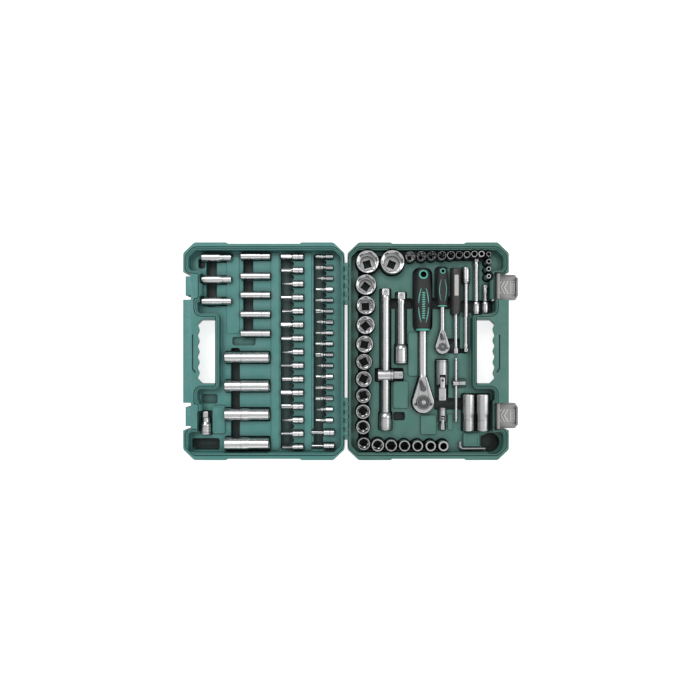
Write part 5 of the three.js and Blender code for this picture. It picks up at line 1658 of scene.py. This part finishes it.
# %% Spinner handle and hex key
middle, low, high = centre_of("spinner_grip")
length, radius = high.y - low.y, (high.x - low.x) / 2
SPINNER_SHAPE = [(0, 0.68), (0.02, 0.74), (0.05, 0.72), (0.1, 0.8), (0.32, 0.97), (0.88, 0.97),
                 (0.975, 0.82), (1, 0.5)]
rings = []
for i in range(41):
    t = i / 40
    size = radius * eased(SPINNER_SHAPE, t)
    depth = 0.05 * eased([(0, 0), (0.12, 0), (0.25, 1), (0.85, 1), (0.97, 0), (1, 0)], t)
    rings.append([
        (size * (1 - depth * (0.5 - 0.5 * math.cos(6 * a))) * math.cos(a),
         size * (1 - depth * (0.5 - 0.5 * math.cos(6 * a))) * math.sin(a), t * length) for a in angles()
    ])
spinner = lofted("spinner grip", rings, SPINNER_BLACK, "+y", (middle.x, low.y, middle.z))
combine(spinner, [lofted("bore", [circle(3.3, -1), circle(3.3, 40.3)], None, "+y",
                         (middle.x, low.y, middle.z))],
        "DIFFERENCE")
panel = rectangle(middle.x - 3.6, middle.x + 3.6, low.y + 32, low.y + 69)
rings = [at_height(rounded(panel, 1.5, 0), middle.z + radius * 0.7),
         at_height(rounded(panel, 1.5, 0), middle.z + radius * 0.955),
         at_height(rounded(panel, 1.5, -0.4), middle.z + radius * 0.985)]
verts, faces = loft(rings)
label_panel = new_object("label panel", verts, faces, LABEL_GREY)
finish_mesh(join("spinner grip", [spinner, label_panel]), NODE_BODY["spinner_grip"],
            replaces=["spinner_grip"])

middle, low, high = centre_of("spinner_shaft")
length = high.y - low.y
shaft = lofted("spinner shaft", [
    flats(4, 5.0, 0, soft=0.2), flats(4, 6.1, 0.7, soft=0.15), flats(4, 6.1, 8.6, soft=0.15),
    circle(4.1, 9.0),
    circle(4.1, 10.4), circle(3.0, 11.2), circle(3.0, length - 0.5), circle(2.6, length),
], CHROME, "+y", (middle.x, low.y, middle.z))
tip = ball(middle.x, low.y + 3.2, middle.z + 2.7, 1.1, SATIN)
finish_mesh(join("spinner shaft", [shaft, tip]), NODE_BODY["spinner_shaft"], replaces=["spinner_shaft"])

middle, low, high = centre_of("hex_key")
across, bend = 4.0, 5.0
corner = Vector((low.x + across / 2, low.y + across / 2, middle.z))
path = [(0, high.y - corner.y - 0.5), (0, high.y - corner.y - 1.2), (0, bend + 1)]
quarter_turn = [math.pi / 2 * i / 8 for i in range(9)]
path += [(bend - bend * math.cos(a), bend - bend * math.sin(a)) for a in quarter_turn]
path += [(bend + 1, 0), (high.x - corner.x - 1.2, 0), (high.x - corner.x - 0.5, 0)]
rings = []
for i, (px, py) in enumerate(path):
    before, after = path[max(i - 1, 0)], path[min(i + 1, len(path) - 1)]
    along = Vector((after[0] - before[0], after[1] - before[1])).normalized()
    across_way = Vector((-along.y, along.x))
    size = across - (0.6 if i in (0, len(path) - 1) else 0.1)
    rings.append([
        (corner.x + px + across_way.x * u, corner.y + py + across_way.y * u, corner.z + v)
        for u, v, _ in flats(6, size, 0, 24, soft=0.1)
    ])
verts, faces = loft(rings)
key = new_object("hex key", verts, faces, SATIN)
finish_mesh(key, NODE_BODY["hex_key"], replaces=["hex_key"])

middle, low, high = centre_of("drive_adapter")
length = high.y - low.y
rings = [flats(4, 12.9, 14.0), flats(4, 12.9, 0.8), flats(4, 13.8, 0), circle(9.2, 0), circle(9.5, 0.4)]
for groove in (4.0, 14.5):
    rings += [circle(9.5 - d, groove + z) for z, d in ((-0.9, 0), (-0.5, 0.5), (0.5, 0.5), (0.9, 0))]
rings += [circle(9.5, 17.4), circle(9.1, 18.2), circle(7.4, 21.6), circle(7, 22.4), circle(7, 29.2),
          circle(6.2, 30),
          flats(4, 9.2, 30.1, soft=0.2), flats(4, 9.4, 30.6, soft=0.2),
          flats(4, 9.4, length - 0.9, soft=0.2),
          flats(4, 8.4, length, soft=0.25)]
adapter = lofted("drive adapter", rings, CHROME, "+y", (middle.x, low.y, middle.z))
finish_mesh(adapter, NODE_BODY["drive_adapter"], replaces=["drive_adapter"])
print("spinner, key and adapter done, pieces so far:", len(made))

# %% [markdown]
# ## The small pieces
# The frame leaves out the smallest tools, so they ride on the half they lie in. Standing small sockets
# share a trench in the base. In the lid lie eight small deep sockets, a column of bit sockets and a column
# of bits.

# %% Small sockets
def small_socket(size, x, y, radius, index):
    height = 44.2 - SMALL_FLOOR
    rings = socket_rings(size, max(radius, size / 2 * HEX_CORNER + 1.0) if size > 6 else radius, 5.9,
                         height, 6.35,
                         None, 0.7 * index)
    if size < 6:
        mouth = 4.5
        rings = [circle(5.1, 0), circle(5.8, 0.6), circle(5.9, 1.2), circle(5.9, 11.5), circle(5.4, 13),
                 circle(mouth, 15),
                 circle(mouth, height - 0.8), circle(mouth - 0.7, height),
                 circle(size / 2 * HEX_CORNER + 0.25, height),
                 flats(6, size, height - 0.7), flats(6, size, height - 8),
                 circle(size * 0.44, height - 8.5),
                 circle(size * 0.44, 9), flats(4, 6.5, 8.6), flats(4, 6.5, 0)]
    return lofted(f"small socket {index}", rings, CHROME, "+z", (x, y, SMALL_FLOOR), "loop")


small = [small_socket(*entry, index) for index, entry in enumerate(SMALL_SOCKETS)]
finish_mesh(join("small standing sockets", small), "base", slot="chrome")

lying = []
for x0, x1, y, body_radius, tail_radius, size in (
        [(-255.7, -203.3, y, r, 6.0, s) for y, r, s in ((167, 7.5, 12), (127.7, 7.2, 11), (89.2, 7.0, 10))]
        + [(-186.8, -134.4, y, r, 5.9, s) for y, r, s in
           ((169.1, 6.25, 9), (134, 6.15, 8), (100.4, 6.05, 7), (66.1, 5.95, 6), (31.8, 5.9, 5))]):
    length, r, t = x1 - x0, body_radius, tail_radius
    rings = [circle(t - 0.7, 0), circle(t, 0.7), circle(t, 14), circle(t - 0.35, 14.4),
             circle(t - 0.35, 15.4),
             circle(t, 15.8), circle(t, length * 0.36), circle(r, length * 0.42), circle(r, length - 0.9),
             circle(r - 0.7, length), circle(size / 2 * HEX_CORNER + 0.2, length),
             flats(6, size, length - 0.9),
             flats(6, size, length - 18), circle(size * 0.4, length - 18.5), circle(size * 0.4, 10),
             flats(4, 6.5, 9.6),
             flats(4, 6.5, 0)]
    lying.append(lofted("small deep socket", rings, CHROME, "-x", (x1, y, 30.5), "loop"))
finish_mesh(join("small deep sockets", lying), "lid", slot="chrome")
print("small sockets:", len(small) + len(lying))

# %% [markdown]
# A bit socket is a short drive body with a bit pressed into it. The bits are quarter-inch hexagons with a
# turned neck and a tip. Four bits are made and repeated four times down their column, and five bit
# sockets three times down theirs. Two longer ones follow. The row tree gives each a small random turn
# about its own axis, so that the flats do not all catch the light in the same way.

# %% Bits and bit sockets
def star(radius, depth, points, z, count=ROUND):
    return [
        ((radius - depth * (0.5 - 0.5 * math.cos(points * a))) * math.cos(a),
         (radius - depth * (0.5 - 0.5 * math.cos(points * a))) * math.sin(a), z) for a in angles(count)
    ]


def bit_tip(kind, width, start, end):
    """Rings of a tip from z = start down to z = end."""
    if kind == "hex":
        return [flats(6, width, start, 24), flats(6, width, end + 0.4, 24), flats(6, width * 0.8, end, 24)]
    if kind == "star":
        return [star(width / 2 + 0.3, width * 0.14, 6, start, 24),
                star(width / 2 + 0.3, width * 0.14, 6, end + 0.4, 24),
                star(width / 2, width * 0.14, 6, end, 24)]
    middle = start + (end - start) * 0.45
    return [star(width / 2 + 0.2, 0.05, 4, start, 24), star(width / 2, width * 0.2, 4, middle, 24),
            star(width * 0.12, 0.02, 4, end, 24)]


def bit(kind, width, long):
    """A bit along +X whose drive end is at x = 0."""
    thick = max(width / 2 + 0.9, 3.0)
    rings = [flats(6, 5.6, 0, 24), flats(6, 6.35, 0.7, 24), flats(6, 6.35, 12.4, 24), circle(2.7, 13.2, 24),
             circle(2.3, 14.6, 24), circle(2.3, 16.4, 24), circle(thick, 18.2, 24),
             circle(thick, long - 9, 24)]
    rings += bit_tip(kind, width, long - 8.0, long)
    return lofted("bit", rings, None, "-x")


def bit_socket(kind, width, long):
    body = [flats(4, 6.5, 7.5, 24), flats(4, 6.5, 0.5, 24), flats(4, 7.1, 0, 24), circle(5.0, 0, 24),
            circle(5.5, 0.5, 24),
            circle(5.5, 6.6, 24), circle(5.1, 7.0, 24), circle(5.1, 8.0, 24), circle(5.5, 8.4, 24),
            circle(5.5, 18.2, 24),
            circle(4.9, 19, 24), circle(width / 2 + 0.7, 19.2, 24), circle(width / 2 + 0.5, 21, 24)]
    return lofted("bit socket", body + bit_tip(kind, width, 22, long), None, "-x")


BIT_KINDS = [("hex", 5.0, 30.2), ("star", 5.6, 30.0), ("cross", 5.4, 29.6), ("hex", 3.6, 29.8)]
bits = []
for index, (kind, width, long) in enumerate(BIT_KINDS):
    bits.append(row("bits", bit(kind, width, long), 4, (-23.2, 168.6 - 19.4 * index, 30.0),
                    (0, -19.4 * 4, 0),
                    SATIN, (0.4, 0, 0), 11 + index))
finish_mesh(join("bits", bits), "lid", slot="satin_steel")
TIPPED = [("hex", 7.0, 38.6), ("star", 6.6, 37.8), ("cross", 5.2, 37.2), ("hex", 4.4, 38.4),
          ("star", 4.0, 36.6)]
holders = []
for index, (kind, width, long) in enumerate(TIPPED):
    holders.append(row("bit sockets", bit_socket(kind, width, long), 3, (-76.1, 168.5 - 24.2 * index, 30.0),
                       (0, -24.2 * 5, 0), CHROME, (0.5, 0, 0), 31 + index))
for index, y in enumerate((-144.2, -168.3)):
    holders.append(row("bit sockets", bit_socket("star", 3.4 - 0.5 * index, 39.6), 1, (-21.0, y, 30.0),
                       (0, 0, 0),
                       CHROME, (0.5, 0, 0), 41 + index))
finish_mesh(join("bit sockets", holders), "lid", slot="chrome")
print("bits: 16, bit sockets: 17, pieces so far:", len(made))

# %% [markdown]
# ## The studio
# The set lies on a pale floor under soft light from above, because the tools should show grey with dark
# edges rather than hard glints. The camera looks straight down from about a metre, a little off the middle
# of the set.

# %% Floor, light and camera
scene = bpy.context.scene
floor_material = moulded("studio floor", (0.62, 0.62, 0.62), (0.62, 0.62, 0.62), 0.8, 60.0, 0.02, 0.0, 0.0)
floor = new_object("studio_floor", [(-9000, -9000, -0.6), (9000, -9000, -0.6), (9000, 9000, -0.6),
                                    (-9000, 9000, -0.6)],
                   [(0, 1, 2, 3)], floor_material)
floor.data.transform(Matrix.Scale(MM, 4))
glow = floor_material.node_tree.nodes["Principled BSDF"]
glow.inputs["Emission Color"].default_value = (1.0, 1.0, 1.0, 1.0)
glow.inputs["Emission Strength"].default_value = 0.74


def area_light(name, at, target, size, power):
    data = bpy.data.lights.new(name, "AREA")
    data.shape = "RECTANGLE"
    data.size, data.size_y = size
    data.energy = power
    obj = bpy.data.objects.new(name, data)
    scene.collection.objects.link(obj)
    obj.location = at
    obj.rotation_euler = (Vector(target) - Vector(at)).to_track_quat("-Z", "Y").to_euler()
    return obj


area_light("key", (-0.6, 1.35, 2.0), (0, 0, 0), (1.6, 1.2), 24)
area_light("fill", (1.7, 0.2, 1.5), (0, 0, 0), (1.0, 1.8), 10.5)
area_light("front", (0.1, -1.8, 1.3), (0, 0, 0), (2.0, 0.8), 8)

world = bpy.data.worlds.new("soft white room")
world.use_nodes = True
tree = world.node_tree
direction = node(tree, "ShaderNodeTexCoord")
upward = node(tree, "ShaderNodeSeparateXYZ", [(0, direction.outputs["Generated"])])
glow_up = node(tree, "ShaderNodeMapRange", [("Value", upward.outputs["Z"])])
glow_up.inputs["From Min"].default_value = 0.15
glow_up.inputs["From Max"].default_value = 0.9
glow_up.inputs["To Min"].default_value = 0.12
glow_up.inputs["To Max"].default_value = 0.8
seen = node(tree, "ShaderNodeLightPath")
backdrop = node(tree, "ShaderNodeMix", [(0, seen.outputs["Is Camera Ray"]), (2, glow_up.outputs[0])])
backdrop.inputs[3].default_value = 0.86
background = tree.nodes["Background"]
background.inputs["Color"].default_value = (1.0, 1.0, 1.0, 1.0)
tree.links.new(backdrop.outputs[0], background.inputs["Strength"])
scene.world = world

camera_data = bpy.data.cameras.new("camera")
camera_data.lens = 27.9
camera_data.sensor_width = 36.0
camera_data.shift_y = 0.0214
camera = bpy.data.objects.new("camera", camera_data)
scene.collection.objects.link(camera)
camera.location = (HINGE_X + 7 * MM, -24.1 * MM, 0.995)
camera.rotation_euler = (0, 0, 0)
scene.camera = camera
scene.view_settings.view_transform = "Standard"
scene.view_settings.look = "None"

print("pieces:", len(made))
